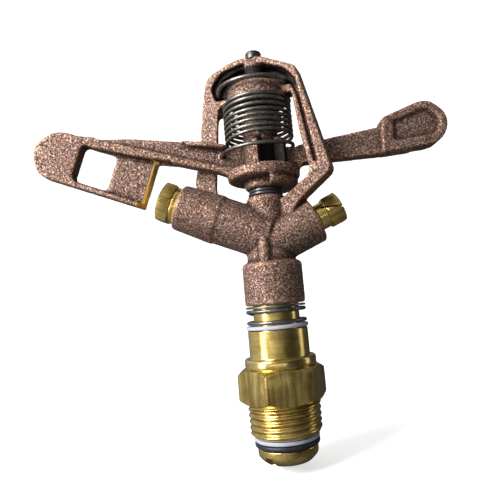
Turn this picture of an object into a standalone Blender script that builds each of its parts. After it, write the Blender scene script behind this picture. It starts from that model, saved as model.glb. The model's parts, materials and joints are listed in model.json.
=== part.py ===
# Full-circle impact sprinkler with two nozzles on a 3/4 inch male riser thread.
#
# Frame: the origin lies on the turning axis at the underside of the wrench hex, where the
# riser ends. +Z points up along the axis, -X along the range nozzle, -Y to the viewer.
import math

import bmesh
import bpy
from mathutils import Matrix, Vector

MM = 0.001

# Clearance between pieces that seat on or turn in each other
GAP = 0.3 * MM

# Bearing nipple: the fixed piece that screws into the riser
THREAD_DIAMETER = 26.4 * MM
THREAD_LENGTH = 10.4 * MM
NIPPLE_LEAD_DIAMETER = 23.4 * MM
NIPPLE_LEAD_LENGTH = 1.0 * MM
HEX_ACROSS_FLATS = 28.0 * MM
HEX_HEIGHT = 12.0 * MM
HEX_CORNER_ANGLE = math.radians(10.0)
HEX_CHAMFER_DROP = 2.6 * MM
COLLAR_STEP = 2.0 * MM
COLLAR_HEIGHT = 3.6 * MM
SLEEVE_WALL = 2.2 * MM
SLEEVE_HEIGHT = 9.9 * MM

# Bearing tube: the turning tube that runs through the nipple and carries the head
TUBE_DIAMETER = 17.0 * MM
TUBE_WALL = 2.2 * MM
TUBE_GRIP = 11.0 * MM
FLANGE_STEP = 2.3 * MM
FLANGE_TIP_STEP = 2.6 * MM
FLANGE_HEIGHT = 5.4 * MM
FLANGE_CHAMFER = 2.4 * MM
SLOT_WIDTH = 2.2 * MM
SLOT_DEPTH = 2.0 * MM
SLOT_TURN = math.radians(62.0)

# Washers of the bearing, with the width of each ring
LOWER_WASHER_RING = 2.9 * MM
RUBBER_WASHER_THICKNESS = 1.6 * MM
SLIP_WASHER_THICKNESS = 1.3 * MM
TOP_WASHER_RING = 2.6 * MM
TOP_WASHER_THICKNESS = 1.3 * MM
SEAT_WASHER_RING = 2.2 * MM
SEAT_WASHER_THICKNESS = 0.8 * MM

# Bearing spring between the top washer and the head
BEARING_SPRING_PLAY = 1.2 * MM
BEARING_SPRING_WIRE = 1.4 * MM
BEARING_SPRING_HEIGHT = 5.6 * MM
BEARING_SPRING_TURNS = 1.85
BEARING_SPRING_FLAT = 0.72

# Body casting: socket, two barrels and the post under the arm
SOCKET_WALL = 2.35 * MM
SOCKET_HEIGHT = 15.5 * MM
NECK_WALL = 2.9 * MM
NECK_HEIGHT = 7.0 * MM
POST_DIAMETER = 14.6 * MM
POST_TOP_Z = 74.8 * MM
RIB_WIDTH = 4.2 * MM
RIB_REACH = 10.6 * MM
RIB_FOOT_DROP = 2.0 * MM
RIB_TOP_Z = 58.8 * MM
RIB_ANGLE = math.radians(255.0)
BARREL_RISE = math.radians(23.5)
RANGE_AXIS_Z = 59.6 * MM
RANGE_BARREL_DIAMETER = 18.2 * MM
RANGE_BOSS_DIAMETER = 19.0 * MM
RANGE_BOSS_TIP_DIAMETER = 17.4 * MM
RANGE_BOSS_START = 19.8 * MM
RANGE_BARREL_LENGTH = 35.9 * MM
RANGE_BORE = 12.0 * MM
RANGE_SHOULDER_BORE = 10.0 * MM
SPREADER_AXIS_Z = 56.8 * MM
SPREADER_BARREL_DIAMETER = 17.6 * MM
SPREADER_BARREL_LENGTH = 19.8 * MM
SPREADER_BORE = 8.8 * MM
WATERWAY_DIAMETER = 12.0 * MM

# Range nozzle and the vane behind it
RANGE_HEX_FLATS = 14.2 * MM
RANGE_HEX_LENGTH = 4.7 * MM
RANGE_COLLAR_DIAMETER = 14.0 * MM
RANGE_COLLAR_LENGTH = 2.0 * MM
RANGE_SHANK_LENGTH = 9.0 * MM
RANGE_JET_BORE = 4.8 * MM
RANGE_JET_LAND = 2.4 * MM
RANGE_INLET_BORE = 9.4 * MM
VANE_LENGTH = 12.0 * MM
VANE_RING_LENGTH = 3.0 * MM
VANE_RING_WALL = 0.9 * MM
VANE_BLADE = 1.0 * MM

# Spreader nozzle
SPREADER_HEX_FLATS = 11.0 * MM
SPREADER_HEX_LENGTH = 6.4 * MM
SPREADER_NECK_DIAMETER = 10.0 * MM
SPREADER_NECK_LENGTH = 3.6 * MM
SPREADER_SHANK_LENGTH = 8.0 * MM
SPREADER_JET_BORE = 3.6 * MM
SPREADER_SLIT = 0.5 * MM

# Fulcrum pin, arm bushes and arm washers
PIN_DIAMETER = 5.0 * MM
PIN_HEAD_DIAMETER = 6.2 * MM
PIN_HEAD_HEIGHT = 3.2 * MM
PIN_GRIP = 7.4 * MM
PIN_SPOT_STEP = 0.6 * MM
BUSH_DIAMETER = 9.2 * MM
BUSH_FLANGE_DIAMETER = 12.4 * MM
BUSH_FLANGE = 1.0 * MM
BUSH_LENGTH = 8.0 * MM
ARM_WASHER_DIAMETER = 13.0 * MM
ARM_WASHER_THICKNESS = 0.9 * MM

# Arm casting
ARM_TURN = math.radians(3.0)
ARM_THICKNESS = 6.0 * MM
SPOON_LENGTH = 46.0 * MM
SPOON_RISE = 29.4 * MM
TAIL_REACH = 73.8 * MM
TAIL_RISE = 30.7 * MM
TAIL_PAD_LENGTH = 28.2 * MM
TAIL_PAD_THICKNESS = 8.4 * MM
ARM_HUB_DIAMETER = 13.4 * MM
ARM_HUB_TOP_Z = 107.4 * MM
ARM_FOOT_DIAMETER = 15.2 * MM
ARM_FOOT_HEIGHT = 3.4 * MM
ARM_DISC_DIAMETER = 27.6 * MM
ARM_DISC_HEIGHT = 4.2 * MM
ARM_SKIRT_DIAMETER = 25.6 * MM
ARM_SKIRT_END_X = 1.5 * MM
ARM_WEB = 2.4 * MM
SPOON_PLATE = 2.6 * MM
SPOON_BEVEL = math.radians(22.0)
HUB_RIB_REACH = 10.9 * MM
HUB_RIB_THICKNESS = 2.2 * MM
HUB_RIB_HEIGHT = 11.2 * MM
HUB_RIB_CHAMFER = 2.0 * MM
HUB_RIB_ANGLES = (254.0, 322.0, 52.0, 128.0)
HOOK_HOLE_X = -14.9 * MM
HOOK_HOLE_Z = 91.9 * MM
TAIL_RECESS = 1.0 * MM
BEVEL_MARGIN = 5.0 * MM

# Bridge over the arm, part of the body casting
BRIDGE_DEPTH = 6.8 * MM
BRIDGE_INNER_HALF = 16.4 * MM
BRIDGE_TOP_Z = 129.2 * MM
BRIDGE_WEB = 2.6 * MM
BOSS_DIAMETER = 22.6 * MM
BOSS_LEDGE_DROP = 11.6 * MM
BOSS_NECK_DIAMETER = 13.0 * MM
BOSS_TAPER_DROP = 5.4 * MM
BOSS_WAIST_DROP = 2.4 * MM
SPRING_HOLE_DIAMETER = 2.3 * MM

# Arm spring
ARM_SPRING_WIRE = 1.25 * MM
ARM_SPRING_RADIUS = 12.55 * MM
ARM_SPRING_TOP_RADIUS = 15.0 * MM
ARM_STACK_BOTTOM_Z = 97.2 * MM
ARM_STACK_PITCH = 1.9 * MM
ARM_STACK_TURNS = 7.25
ARM_LEAD_IN_TURNS = 1.25
ARM_TOP_FLAT_TURNS = 0.56
TOP_HOOK_X = 13.4 * MM
TOP_HOOK_DROP = 12.1 * MM
HOOK_STRAIGHT = 1.6 * MM
SPRING_MARGIN = 0.85 * MM
POINTS_PER_TURN = 10

# Facets on round pieces; crossing cylinders are turned so that their edges never line up
SIDES = 40
FINE_SIDES = 28
HALF_FACET = 0.4 * math.pi / SIDES

# How far a cutting tool sticks out past the piece
BEYOND = 30.0 * MM


# Heights that follow from the sizes above

NIPPLE_BOTTOM_Z = -(THREAD_LENGTH + NIPPLE_LEAD_LENGTH)
SLIP_WASHER_TOP_Z = NIPPLE_BOTTOM_Z - GAP
RUBBER_WASHER_TOP_Z = SLIP_WASHER_TOP_Z - SLIP_WASHER_THICKNESS - GAP
FLANGE_TOP_Z = RUBBER_WASHER_TOP_Z - RUBBER_WASHER_THICKNESS - GAP
COLLAR_TOP_Z = HEX_HEIGHT + COLLAR_HEIGHT
NIPPLE_TOP_Z = COLLAR_TOP_Z + SLEEVE_HEIGHT
TOP_WASHER_Z = NIPPLE_TOP_Z + GAP
BEARING_SPRING_Z = TOP_WASHER_Z + TOP_WASHER_THICKNESS + GAP
SEAT_WASHER_Z = BEARING_SPRING_Z + BEARING_SPRING_HEIGHT + GAP
SOCKET_Z = SEAT_WASHER_Z + SEAT_WASHER_THICKNESS + GAP
SOCKET_TOP_Z = SOCKET_Z + SOCKET_HEIGHT
TUBE_TOP_Z = SOCKET_Z + TUBE_GRIP
TUBE_CLEAR_RADIUS = TUBE_DIAMETER / 2 + GAP
SLEEVE_RADIUS = TUBE_CLEAR_RADIUS + SLEEVE_WALL
FLANGE_RADIUS = TUBE_DIAMETER / 2 + FLANGE_STEP
BEARING_SPRING_RADIUS = TUBE_DIAMETER / 2 + BEARING_SPRING_PLAY + BEARING_SPRING_WIRE / 2

LOWER_ARM_WASHER_Z = POST_TOP_Z + GAP
LOWER_BUSH_Z = LOWER_ARM_WASHER_Z + ARM_WASHER_THICKNESS + GAP
ARM_HUB_Z = LOWER_BUSH_Z + BUSH_FLANGE + GAP
ARM_DISC_Z = ARM_HUB_Z + ARM_FOOT_HEIGHT
ARM_DISC_TOP_Z = ARM_DISC_Z + ARM_DISC_HEIGHT
UPPER_BUSH_Z = ARM_HUB_TOP_Z + GAP + BUSH_FLANGE
UPPER_ARM_WASHER_Z = UPPER_BUSH_Z + GAP
PIN_CLEAR_RADIUS = PIN_DIAMETER / 2 + GAP
BUSH_CLEAR_RADIUS = BUSH_DIAMETER / 2 + GAP
BOSS_SEAT_Z = UPPER_ARM_WASHER_Z + ARM_WASHER_THICKNESS + GAP
TOP_HOOK_Z = BRIDGE_TOP_Z - TOP_HOOK_DROP

# The arm's back face rests against the inner front corner of the bridge's left leg
STOP_REACH = math.hypot(BRIDGE_INNER_HALF, BRIDGE_DEPTH / 2)
STOP_ANGLE = math.asin((ARM_THICKNESS / 2 + GAP) / STOP_REACH)
STOP_ANGLE += math.atan2(BRIDGE_DEPTH / 2, BRIDGE_INNER_HALF)
BRIDGE_TURN = ARM_TURN - STOP_ANGLE


def clear_scene():
    for item in list(bpy.data.objects):
        bpy.data.objects.remove(item, do_unlink=True)


def make_material(name, colour, roughness, metallic):
    material = bpy.data.materials.new(name)
    material.use_nodes = True
    shader = material.node_tree.nodes["Principled BSDF"]
    shader.inputs["Base Color"].default_value = (*colour, 1.0)
    shader.inputs["Roughness"].default_value = roughness
    shader.inputs["Metallic"].default_value = metallic
    return material


def add_empty(name, turn=0.0):
    empty = bpy.data.objects.new(name, None)
    empty.rotation_euler = (0.0, 0.0, turn)
    bpy.context.collection.objects.link(empty)
    return empty


def add_mesh(name, bm, material=None, parent=None):
    bmesh.ops.recalc_face_normals(bm, faces=bm.faces)
    mesh = bpy.data.meshes.new(name)
    bm.to_mesh(mesh)
    bm.free()
    mesh.shade_smooth()
    mesh.set_sharp_from_angle(angle=math.radians(32.0))
    piece = bpy.data.objects.new(name, mesh)
    bpy.context.collection.objects.link(piece)
    if material is not None:
        mesh.materials.append(material)
    piece.parent = parent
    return piece


def turned(name, outline, material=None, parent=None, sides=SIDES, start=0.0):
    """Turn a (radius, height) outline about Z: a closed ring, or a solid if it starts on Z."""
    solid = outline[0][0] == 0.0
    if solid:
        outline = outline[1:-1]
    bm = bmesh.new()
    rings = []
    for radius, height in outline:
        ring = []
        for step in range(sides):
            angle = start + 2 * math.pi * step / sides
            ring.append(bm.verts.new((radius * math.cos(angle), radius * math.sin(angle), height)))
        rings.append(ring)
    if solid:
        bm.faces.new(rings[0])
        bm.faces.new(rings[-1])
    else:
        rings.append(rings[0])
    for ring, following in zip(rings, rings[1:]):
        for step in range(sides):
            after = (step + 1) % sides
            bm.faces.new((ring[step], ring[after], following[after], following[step]))
    return add_mesh(name, bm, material, parent)


def prism(name, outline, front, back, material=None, parent=None):
    """Extrude a closed (x, z) outline along Y from front to back."""
    bm = bmesh.new()
    near = [bm.verts.new((x, front, z)) for x, z in outline]
    far = [bm.verts.new((x, back, z)) for x, z in outline]
    bm.faces.new(near)
    bm.faces.new(far)
    for index in range(len(outline)):
        after = (index + 1) % len(outline)
        bm.faces.new((near[index], near[after], far[after], far[index]))
    return add_mesh(name, bm, material, parent)


def block(name, low, high, material=None, parent=None):
    """A box between two opposite corners."""
    corners = [(low[0], low[2]), (high[0], low[2]), (high[0], high[2]), (low[0], high[2])]
    return prism(name, corners, low[1], high[1], material, parent)


def rounded(corners, step_angle=math.radians(18.0)):
    """Round each (x, z, radius) corner of an outline given in millimetres, and give metres."""
    outline = []
    for index, (x, z, radius) in enumerate(corners):
        here = Vector((x, z))
        before = Vector(corners[index - 1][:2]) - here
        after = Vector(corners[(index + 1) % len(corners)][:2]) - here
        half = before.angle(after) / 2
        if radius == 0.0:
            outline.append((x * MM, z * MM))
            continue
        reach = min(radius / math.tan(half), 0.49 * before.length, 0.49 * after.length)
        radius = reach * math.tan(half)
        centre = here + (before.normalized() + after.normalized()).normalized() * radius / math.sin(half)
        first = here + before.normalized() * reach - centre
        turn = first.angle_signed(here + after.normalized() * reach - centre)
        steps = max(1, round(abs(turn) / step_angle))
        for step in range(steps + 1):
            angle = -turn * step / steps
            arm = Matrix.Rotation(angle, 2) @ first
            outline.append(((centre.x + arm.x) * MM, (centre.y + arm.y) * MM))
    return outline


def combine(target, operation, tools):
    """Add one Boolean with all the tools at once, and turn the tools into guides."""
    group = bpy.data.collections.new(target.name + "_" + operation.lower())
    for tool in tools:
        group.objects.link(tool)
        tool.hide_render = True
        tool.display_type = "WIRE"
    modifier = target.modifiers.new(operation.title(), "BOOLEAN")
    modifier.operation = operation
    modifier.operand_type = "COLLECTION"
    modifier.collection = group
    modifier.solver = "EXACT"


def fuse(target, *tools):
    combine(target, "UNION", tools)


def cut(target, *tools):
    combine(target, "DIFFERENCE", tools)


def washer(name, outer_radius, inner_radius, bottom, thickness, material, parent=None):
    top = bottom + thickness
    outline = [
        (inner_radius, bottom), (outer_radius, bottom), (outer_radius, top), (inner_radius, top),
    ]
    return turned(name, outline, material, parent)


def hexagon(name, across_flats, bottom, top, corner_angle, low_drop, high_drop):
    """A hexagonal prism whose corners are turned off by the given drops."""
    corner = across_flats / 2 / math.cos(math.pi / 6)
    body = turned(
        name, [(0.0, bottom), (corner, bottom), (corner, top), (0.0, top)],
        sides=6, start=corner_angle,
    )
    flat = across_flats / 2 - 0.3 * MM
    wide = corner + 1.0 * MM
    beyond = 0.5 * MM
    low_slope = low_drop / (corner - flat)
    high_slope = high_drop / (corner - flat)
    outline = [
        (0.0, bottom - beyond), (flat - beyond / low_slope, bottom - beyond),
        (wide, bottom + (wide - flat) * low_slope), (wide, top - (wide - flat) * high_slope),
        (flat - beyond / high_slope, top + beyond), (0.0, top + beyond),
    ]
    crown = turned(name + "_crown", outline, start=HALF_FACET)
    combine(body, "INTERSECT", [crown])
    return body


# Bearing pieces


def make_bearing_nipple(material):
    thread = THREAD_DIAMETER / 2
    lead = NIPPLE_LEAD_DIAMETER / 2
    sleeve = SLEEVE_RADIUS
    collar = sleeve + COLLAR_STEP
    bore = TUBE_CLEAR_RADIUS
    soft = 1.0 * MM
    outline = [
        (bore, NIPPLE_BOTTOM_Z),
        (lead, NIPPLE_BOTTOM_Z),
        (thread, NIPPLE_BOTTOM_Z + NIPPLE_LEAD_LENGTH),
        (thread, 0.5 * MM),
        (collar - soft, 0.5 * MM),
        (collar - soft, HEX_HEIGHT - GAP),
        (collar, HEX_HEIGHT + soft),
        (collar, COLLAR_TOP_Z - soft),
        (collar - 0.3 * soft, COLLAR_TOP_Z - 0.3 * soft),
        (collar - soft, COLLAR_TOP_Z),
        (sleeve, COLLAR_TOP_Z),
        (sleeve, NIPPLE_TOP_Z - 0.4 * soft),
        (sleeve - 0.4 * soft, NIPPLE_TOP_Z),
        (bore, NIPPLE_TOP_Z),
    ]
    nipple = turned("bearing_nipple", outline, material)
    wrench = hexagon(
        "wrench_hex", HEX_ACROSS_FLATS, 0.0, HEX_HEIGHT, HEX_CORNER_ANGLE,
        HEX_CHAMFER_DROP, HEX_CHAMFER_DROP,
    )
    core = turned("wrench_core", [
        (0.0, -BEYOND), (bore, -BEYOND), (bore, HEX_HEIGHT + BEYOND), (0.0, HEX_HEIGHT + BEYOND),
    ])
    cut(wrench, core)
    fuse(nipple, wrench)
    return nipple


def make_bearing_tube(material):
    outer = TUBE_DIAMETER / 2
    bore = outer - TUBE_WALL
    flange = FLANGE_RADIUS
    tip = flange - FLANGE_TIP_STEP
    bottom = FLANGE_TOP_Z - FLANGE_HEIGHT
    outline = [
        (bore, bottom),
        (tip, bottom),
        (flange, bottom + FLANGE_CHAMFER),
        (flange, FLANGE_TOP_Z),
        (outer, FLANGE_TOP_Z),
        (outer, TUBE_TOP_Z - 0.5 * MM),
        (outer - 0.5 * MM, TUBE_TOP_Z),
        (bore, TUBE_TOP_Z),
    ]
    tube = turned("bearing_tube", outline, material)
    slot = block(
        "tube_slot",
        (-BEYOND, -SLOT_WIDTH / 2, bottom - SLOT_DEPTH),
        (BEYOND, SLOT_WIDTH / 2, bottom + SLOT_DEPTH),
    )
    slot.rotation_euler = (0.0, 0.0, SLOT_TURN)
    cut(tube, slot)
    return tube


def make_bearing_washers(slip_material, rubber_material, steel_material):
    bore = TUBE_CLEAR_RADIUS
    lower = bore + LOWER_WASHER_RING
    washer(
        "lower_slip_washer", lower, bore,
        SLIP_WASHER_TOP_Z - SLIP_WASHER_THICKNESS, SLIP_WASHER_THICKNESS, slip_material,
    )
    washer(
        "lower_rubber_washer", lower, bore,
        RUBBER_WASHER_TOP_Z - RUBBER_WASHER_THICKNESS, RUBBER_WASHER_THICKNESS, rubber_material,
    )
    washer(
        "nipple_top_washer", bore + TOP_WASHER_RING, bore,
        TOP_WASHER_Z, TOP_WASHER_THICKNESS, slip_material,
    )
    washer(
        "spring_seat_washer", bore + SEAT_WASHER_RING, bore,
        SEAT_WASHER_Z, SEAT_WASHER_THICKNESS, steel_material,
    )


# Body casting with its bridge


def along_barrel(axis_z, side):
    """The place and turn of a barrel: its own Z axis points out along it."""
    turn = Matrix.Rotation(side * (math.pi / 2 - BARREL_RISE), 4, "Y")
    return Matrix.Translation((0.0, 0.0, axis_z)) @ turn


def barrel_piece(name, outline, axis_z, side, material=None, **options):
    piece = turned(name, outline, material, **options)
    piece.matrix_world = along_barrel(axis_z, side)
    return piece


def make_range_barrel():
    barrel = RANGE_BARREL_DIAMETER / 2
    boss = RANGE_BOSS_DIAMETER / 2
    tip = RANGE_BOSS_TIP_DIAMETER / 2
    step = 0.5 * MM
    outline = [
        (0.0, 0.0), (barrel, 0.0), (barrel, RANGE_BOSS_START),
        (boss, RANGE_BOSS_START + step), (tip, RANGE_BARREL_LENGTH - step),
        (tip - step, RANGE_BARREL_LENGTH), (0.0, RANGE_BARREL_LENGTH),
    ]
    return barrel_piece("range_barrel", outline, RANGE_AXIS_Z, -1)


def make_spreader_barrel():
    barrel = SPREADER_BARREL_DIAMETER / 2
    soft = 0.6 * MM
    outline = [
        (0.0, 0.0), (barrel, 0.0), (barrel, SPREADER_BARREL_LENGTH - soft),
        (barrel - soft, SPREADER_BARREL_LENGTH), (0.0, SPREADER_BARREL_LENGTH),
    ]
    return barrel_piece("spreader_barrel", outline, SPREADER_AXIS_Z, 1, start=HALF_FACET)


def make_waterways():
    """The passages: up from the tube, then out along both barrels."""
    bore = RANGE_BORE / 2
    shoulder = RANGE_SHOULDER_BORE / 2
    seat = range_vane_start() - GAP
    beyond = 2.0 * MM
    left = barrel_piece("range_waterway", [
        (0.0, -beyond), (shoulder, -beyond), (shoulder, seat), (bore, seat),
        (bore, RANGE_BARREL_LENGTH + beyond), (0.0, RANGE_BARREL_LENGTH + beyond),
    ], RANGE_AXIS_Z, -1, sides=FINE_SIDES, start=HALF_FACET)
    right_bore = SPREADER_BORE / 2
    right = barrel_piece("spreader_waterway", [
        (0.0, 0.0), (right_bore, 0.0),
        (right_bore, SPREADER_BARREL_LENGTH + beyond), (0.0, SPREADER_BARREL_LENGTH + beyond),
    ], SPREADER_AXIS_Z, 1, sides=FINE_SIDES)
    way = WATERWAY_DIAMETER / 2
    grip = TUBE_CLEAR_RADIUS
    up = turned("tube_socket", [
        (0.0, SOCKET_Z - beyond), (grip, SOCKET_Z - beyond), (grip, TUBE_TOP_Z + GAP),
        (way, TUBE_TOP_Z + GAP), (way, SPREADER_AXIS_Z + beyond), (0.0, SPREADER_AXIS_Z + beyond),
    ])
    return up, left, right


def range_vane_start():
    return RANGE_BARREL_LENGTH - RANGE_SHANK_LENGTH - GAP - VANE_LENGTH


def bridge_outline():
    """The arch in its own plane, in millimetres: outer edge from the left foot, then inner edge."""
    leg = BRIDGE_INNER_HALF / MM
    top = BRIDGE_TOP_Z / MM
    foot = POST_TOP_Z / MM
    seat = BOSS_SEAT_Z / MM
    outer = (
        (-leg - 8.2, foot - 8.8, 0.0),
        (-leg - 11.6, foot + 9.2, 3.0),
        (-leg - 8.2, foot + 23.2, 30.0),
        (-leg - 6.2, top - 17.2, 30.0),
        (-leg - 3.4, top - 3.2, 6.0),
        (-leg + 8.4, top + 0.8, 14.0),
        (leg - 14.8, top + 1.0, 6.0),
        (leg + 0.9, top - 7.3, 3.0),
        (leg + 10.6, foot + 5.8, 3.5),
        (leg - 1.4, foot - 2.9, 2.0),
        (7.5, foot - 10.8, 0.0),
    )
    inner = (
        (2.0, foot - 6.8, 0.0),
        (7.0, foot - 2.2, 2.0),
        (leg + 2.8, foot + 5.8, 4.0),
        (leg + 0.2, foot + 20.2, 20.0),
        (leg - 1.0, seat - 3.7, 6.0),
        (leg - 1.5, seat + 2.2, 1.6),
        (2.0, seat + 2.2, 0.0),
        (-2.0, seat + 3.0, 0.0),
        (-leg + 1.0, seat + 3.0, 3.0),
        (-leg, foot + 26.2, 30.0),
        (-leg - 2.2, foot + 7.2, 3.0),
        (-leg - 1.2, foot - 8.8, 0.0),
    )
    return rounded(outer + inner)


def bridge_recess():
    """The hollow under the rim, which runs on as a groove down the right leg."""
    leg = BRIDGE_INNER_HALF / MM
    top = BRIDGE_TOP_Z / MM
    foot = POST_TOP_Z / MM
    hook = TOP_HOOK_Z / MM
    return rounded((
        (-leg + 0.2, hook - 1.7, 1.0),
        (-leg - 1.8, top - 8.0, 4.0),
        (-leg + 3.2, top - 2.6, 6.0),
        (-leg + 13.4, top - 1.0, 10.0),
        (leg - 14.0, top - 2.0, 6.0),
        (leg - 3.8, top - 7.0, 4.0),
        (leg + 0.2, top - 11.8, 5.0),
        (leg + 5.8, foot + 9.0, 0.7),
        (leg + 4.3, foot + 9.4, 0.7),
        (leg + 0.2, hook - 6.4, 1.5),
        (leg - 1.6, hook - 1.7, 1.5),
    ))


def make_bridge(plane):
    """The arch over the arm: rim and legs, hollowed to a web, and the boss that holds the pin."""
    half = BRIDGE_DEPTH / 2
    web = BRIDGE_WEB / 2
    frame = prism("bridge_frame", bridge_outline(), -half, half, parent=plane)
    recess = bridge_recess()
    tools = [
        prism("front_recess", recess, -BEYOND, -web, parent=plane),
        prism("back_recess", recess, web, BEYOND, parent=plane),
    ]
    hole = SPRING_HOLE_DIAMETER / 2
    for name, x in (("near_hole", TOP_HOOK_X), ("far_hole", -ARM_SPRING_TOP_RADIUS)):
        drill = turned(
            name, [(0.0, -BEYOND), (hole, -BEYOND), (hole, BEYOND), (0.0, BEYOND)], sides=12,
        )
        drill.parent = plane
        place = Matrix.Translation((x, 0.0, TOP_HOOK_Z))
        drill.matrix_local = place @ Matrix.Rotation(math.pi / 2, 4, "X")
        tools.append(drill)
    cut(frame, *tools)
    boss = BOSS_DIAMETER / 2
    neck = BOSS_NECK_DIAMETER / 2
    waist = half - 0.2 * MM
    ledge = BRIDGE_TOP_Z - BOSS_LEDGE_DROP
    soft = 1.2 * MM
    pin_boss = turned("bridge_boss", [
        (0.0, BOSS_SEAT_Z), (boss - soft, BOSS_SEAT_Z), (boss, BOSS_SEAT_Z + soft),
        (boss, ledge - soft), (boss - soft, ledge), (neck, ledge + soft),
        (neck, BRIDGE_TOP_Z - BOSS_TAPER_DROP), (waist, BRIDGE_TOP_Z - BOSS_WAIST_DROP),
        (waist, BRIDGE_TOP_Z), (0.0, BRIDGE_TOP_Z),
    ], parent=plane)
    return frame, pin_boss


def make_body_casting(material, plane):
    socket = TUBE_CLEAR_RADIUS + SOCKET_WALL
    neck = WATERWAY_DIAMETER / 2 + NECK_WALL
    soft = 1.0 * MM
    outline = [
        (0.0, SOCKET_Z), (socket - 0.5 * soft, SOCKET_Z), (socket, SOCKET_Z + 0.5 * soft),
        (socket, SOCKET_TOP_Z - soft), (socket - 0.4 * soft, SOCKET_TOP_Z - 0.3 * soft),
        (socket - soft, SOCKET_TOP_Z), (neck, SOCKET_TOP_Z + 0.6 * soft),
        (neck, SOCKET_TOP_Z + NECK_HEIGHT), (0.0, SOCKET_TOP_Z + NECK_HEIGHT),
    ]
    body = turned("body_casting", outline, material)
    post = POST_DIAMETER / 2
    hub_post = turned("arm_post", [
        (0.0, SPREADER_AXIS_Z), (post, SPREADER_AXIS_Z), (post, POST_TOP_Z - 0.6 * soft),
        (post - 0.6 * soft, POST_TOP_Z), (0.0, POST_TOP_Z),
    ])
    rib = turned("front_rib", [
        (0.0, SOCKET_TOP_Z - RIB_FOOT_DROP), (RIB_WIDTH / 2, SOCKET_TOP_Z - RIB_FOOT_DROP),
        (RIB_WIDTH / 2, RIB_TOP_Z - RIB_WIDTH / 2), (RIB_WIDTH / 4, RIB_TOP_Z), (0.0, RIB_TOP_Z),
    ], sides=16)
    middle = RIB_REACH - RIB_WIDTH / 2
    rib.location = (middle * math.cos(RIB_ANGLE), middle * math.sin(RIB_ANGLE), 0.0)
    fuse(body, make_range_barrel(), make_spreader_barrel(), hub_post, rib, *make_bridge(plane))
    pin = PIN_CLEAR_RADIUS
    spot = PIN_HEAD_DIAMETER / 2 + PIN_SPOT_STEP
    above = BRIDGE_TOP_Z + PIN_HEAD_HEIGHT
    pin_hole = turned("pin_hole", [
        (0.0, POST_TOP_Z - PIN_GRIP - GAP), (pin, POST_TOP_Z - PIN_GRIP - GAP),
        (pin, BRIDGE_TOP_Z), (spot, BRIDGE_TOP_Z), (spot, above), (0.0, above),
    ], sides=FINE_SIDES)
    cut(body, pin_hole, *make_waterways())
    return body


# Nozzles and vane


def range_nozzle_tip():
    """How far out along the barrel the range nozzle ends."""
    return RANGE_BARREL_LENGTH + GAP + RANGE_COLLAR_LENGTH + RANGE_HEX_LENGTH


def make_range_nozzle(material):
    shank = RANGE_BORE / 2 - GAP
    seat = RANGE_BARREL_LENGTH + GAP
    collar = RANGE_COLLAR_DIAMETER / 2
    hex_start = seat + RANGE_COLLAR_LENGTH
    tip = range_nozzle_tip()
    inner = RANGE_BARREL_LENGTH - RANGE_SHANK_LENGTH
    jet = RANGE_JET_BORE / 2
    inlet = RANGE_INLET_BORE / 2
    nozzle = barrel_piece("range_nozzle", [
        (0.0, inner), (shank, inner), (shank, seat), (collar, seat), (collar, hex_start + 0.5 * MM),
        (0.0, hex_start + 0.5 * MM),
    ], RANGE_AXIS_Z, -1, material, sides=FINE_SIDES)
    hexagon_head = hexagon(
        "range_hex", RANGE_HEX_FLATS, hex_start, tip, math.radians(90.0), 0.4 * MM, 1.5 * MM,
    )
    hexagon_head.matrix_world = along_barrel(RANGE_AXIS_Z, -1)
    bpy.data.objects["range_hex_crown"].matrix_world = along_barrel(RANGE_AXIS_Z, -1)
    funnel = barrel_piece("range_funnel", [
        (0.0, inner - 0.5 * MM), (inlet, inner - 0.5 * MM), (jet, tip - RANGE_JET_LAND),
        (jet, tip - 0.7 * MM), (jet + 1.2 * MM, tip + 0.5 * MM), (0.0, tip + 0.5 * MM),
    ], RANGE_AXIS_Z, -1, sides=FINE_SIDES, start=HALF_FACET)
    fuse(nozzle, hexagon_head)
    cut(nozzle, funnel)
    return nozzle


def make_stream_vane(material):
    ring = RANGE_BORE / 2 - GAP
    start = range_vane_start()
    vane = barrel_piece("stream_vane", [
        (ring - VANE_RING_WALL, start), (ring, start), (ring, start + VANE_RING_LENGTH),
        (ring - VANE_RING_WALL, start + VANE_RING_LENGTH),
    ], RANGE_AXIS_Z, -1, material, sides=FINE_SIDES)
    blade = ring - VANE_RING_WALL / 2
    for name, turn in (("vane_blade_a", 0.0), ("vane_blade_b", math.pi / 2)):
        plate = block(
            name, (-blade, -VANE_BLADE / 2, start), (blade, VANE_BLADE / 2, start + VANE_LENGTH),
        )
        plate.matrix_world = along_barrel(RANGE_AXIS_Z, -1) @ Matrix.Rotation(turn, 4, "Z")
        fuse(vane, plate)
    return vane


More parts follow.
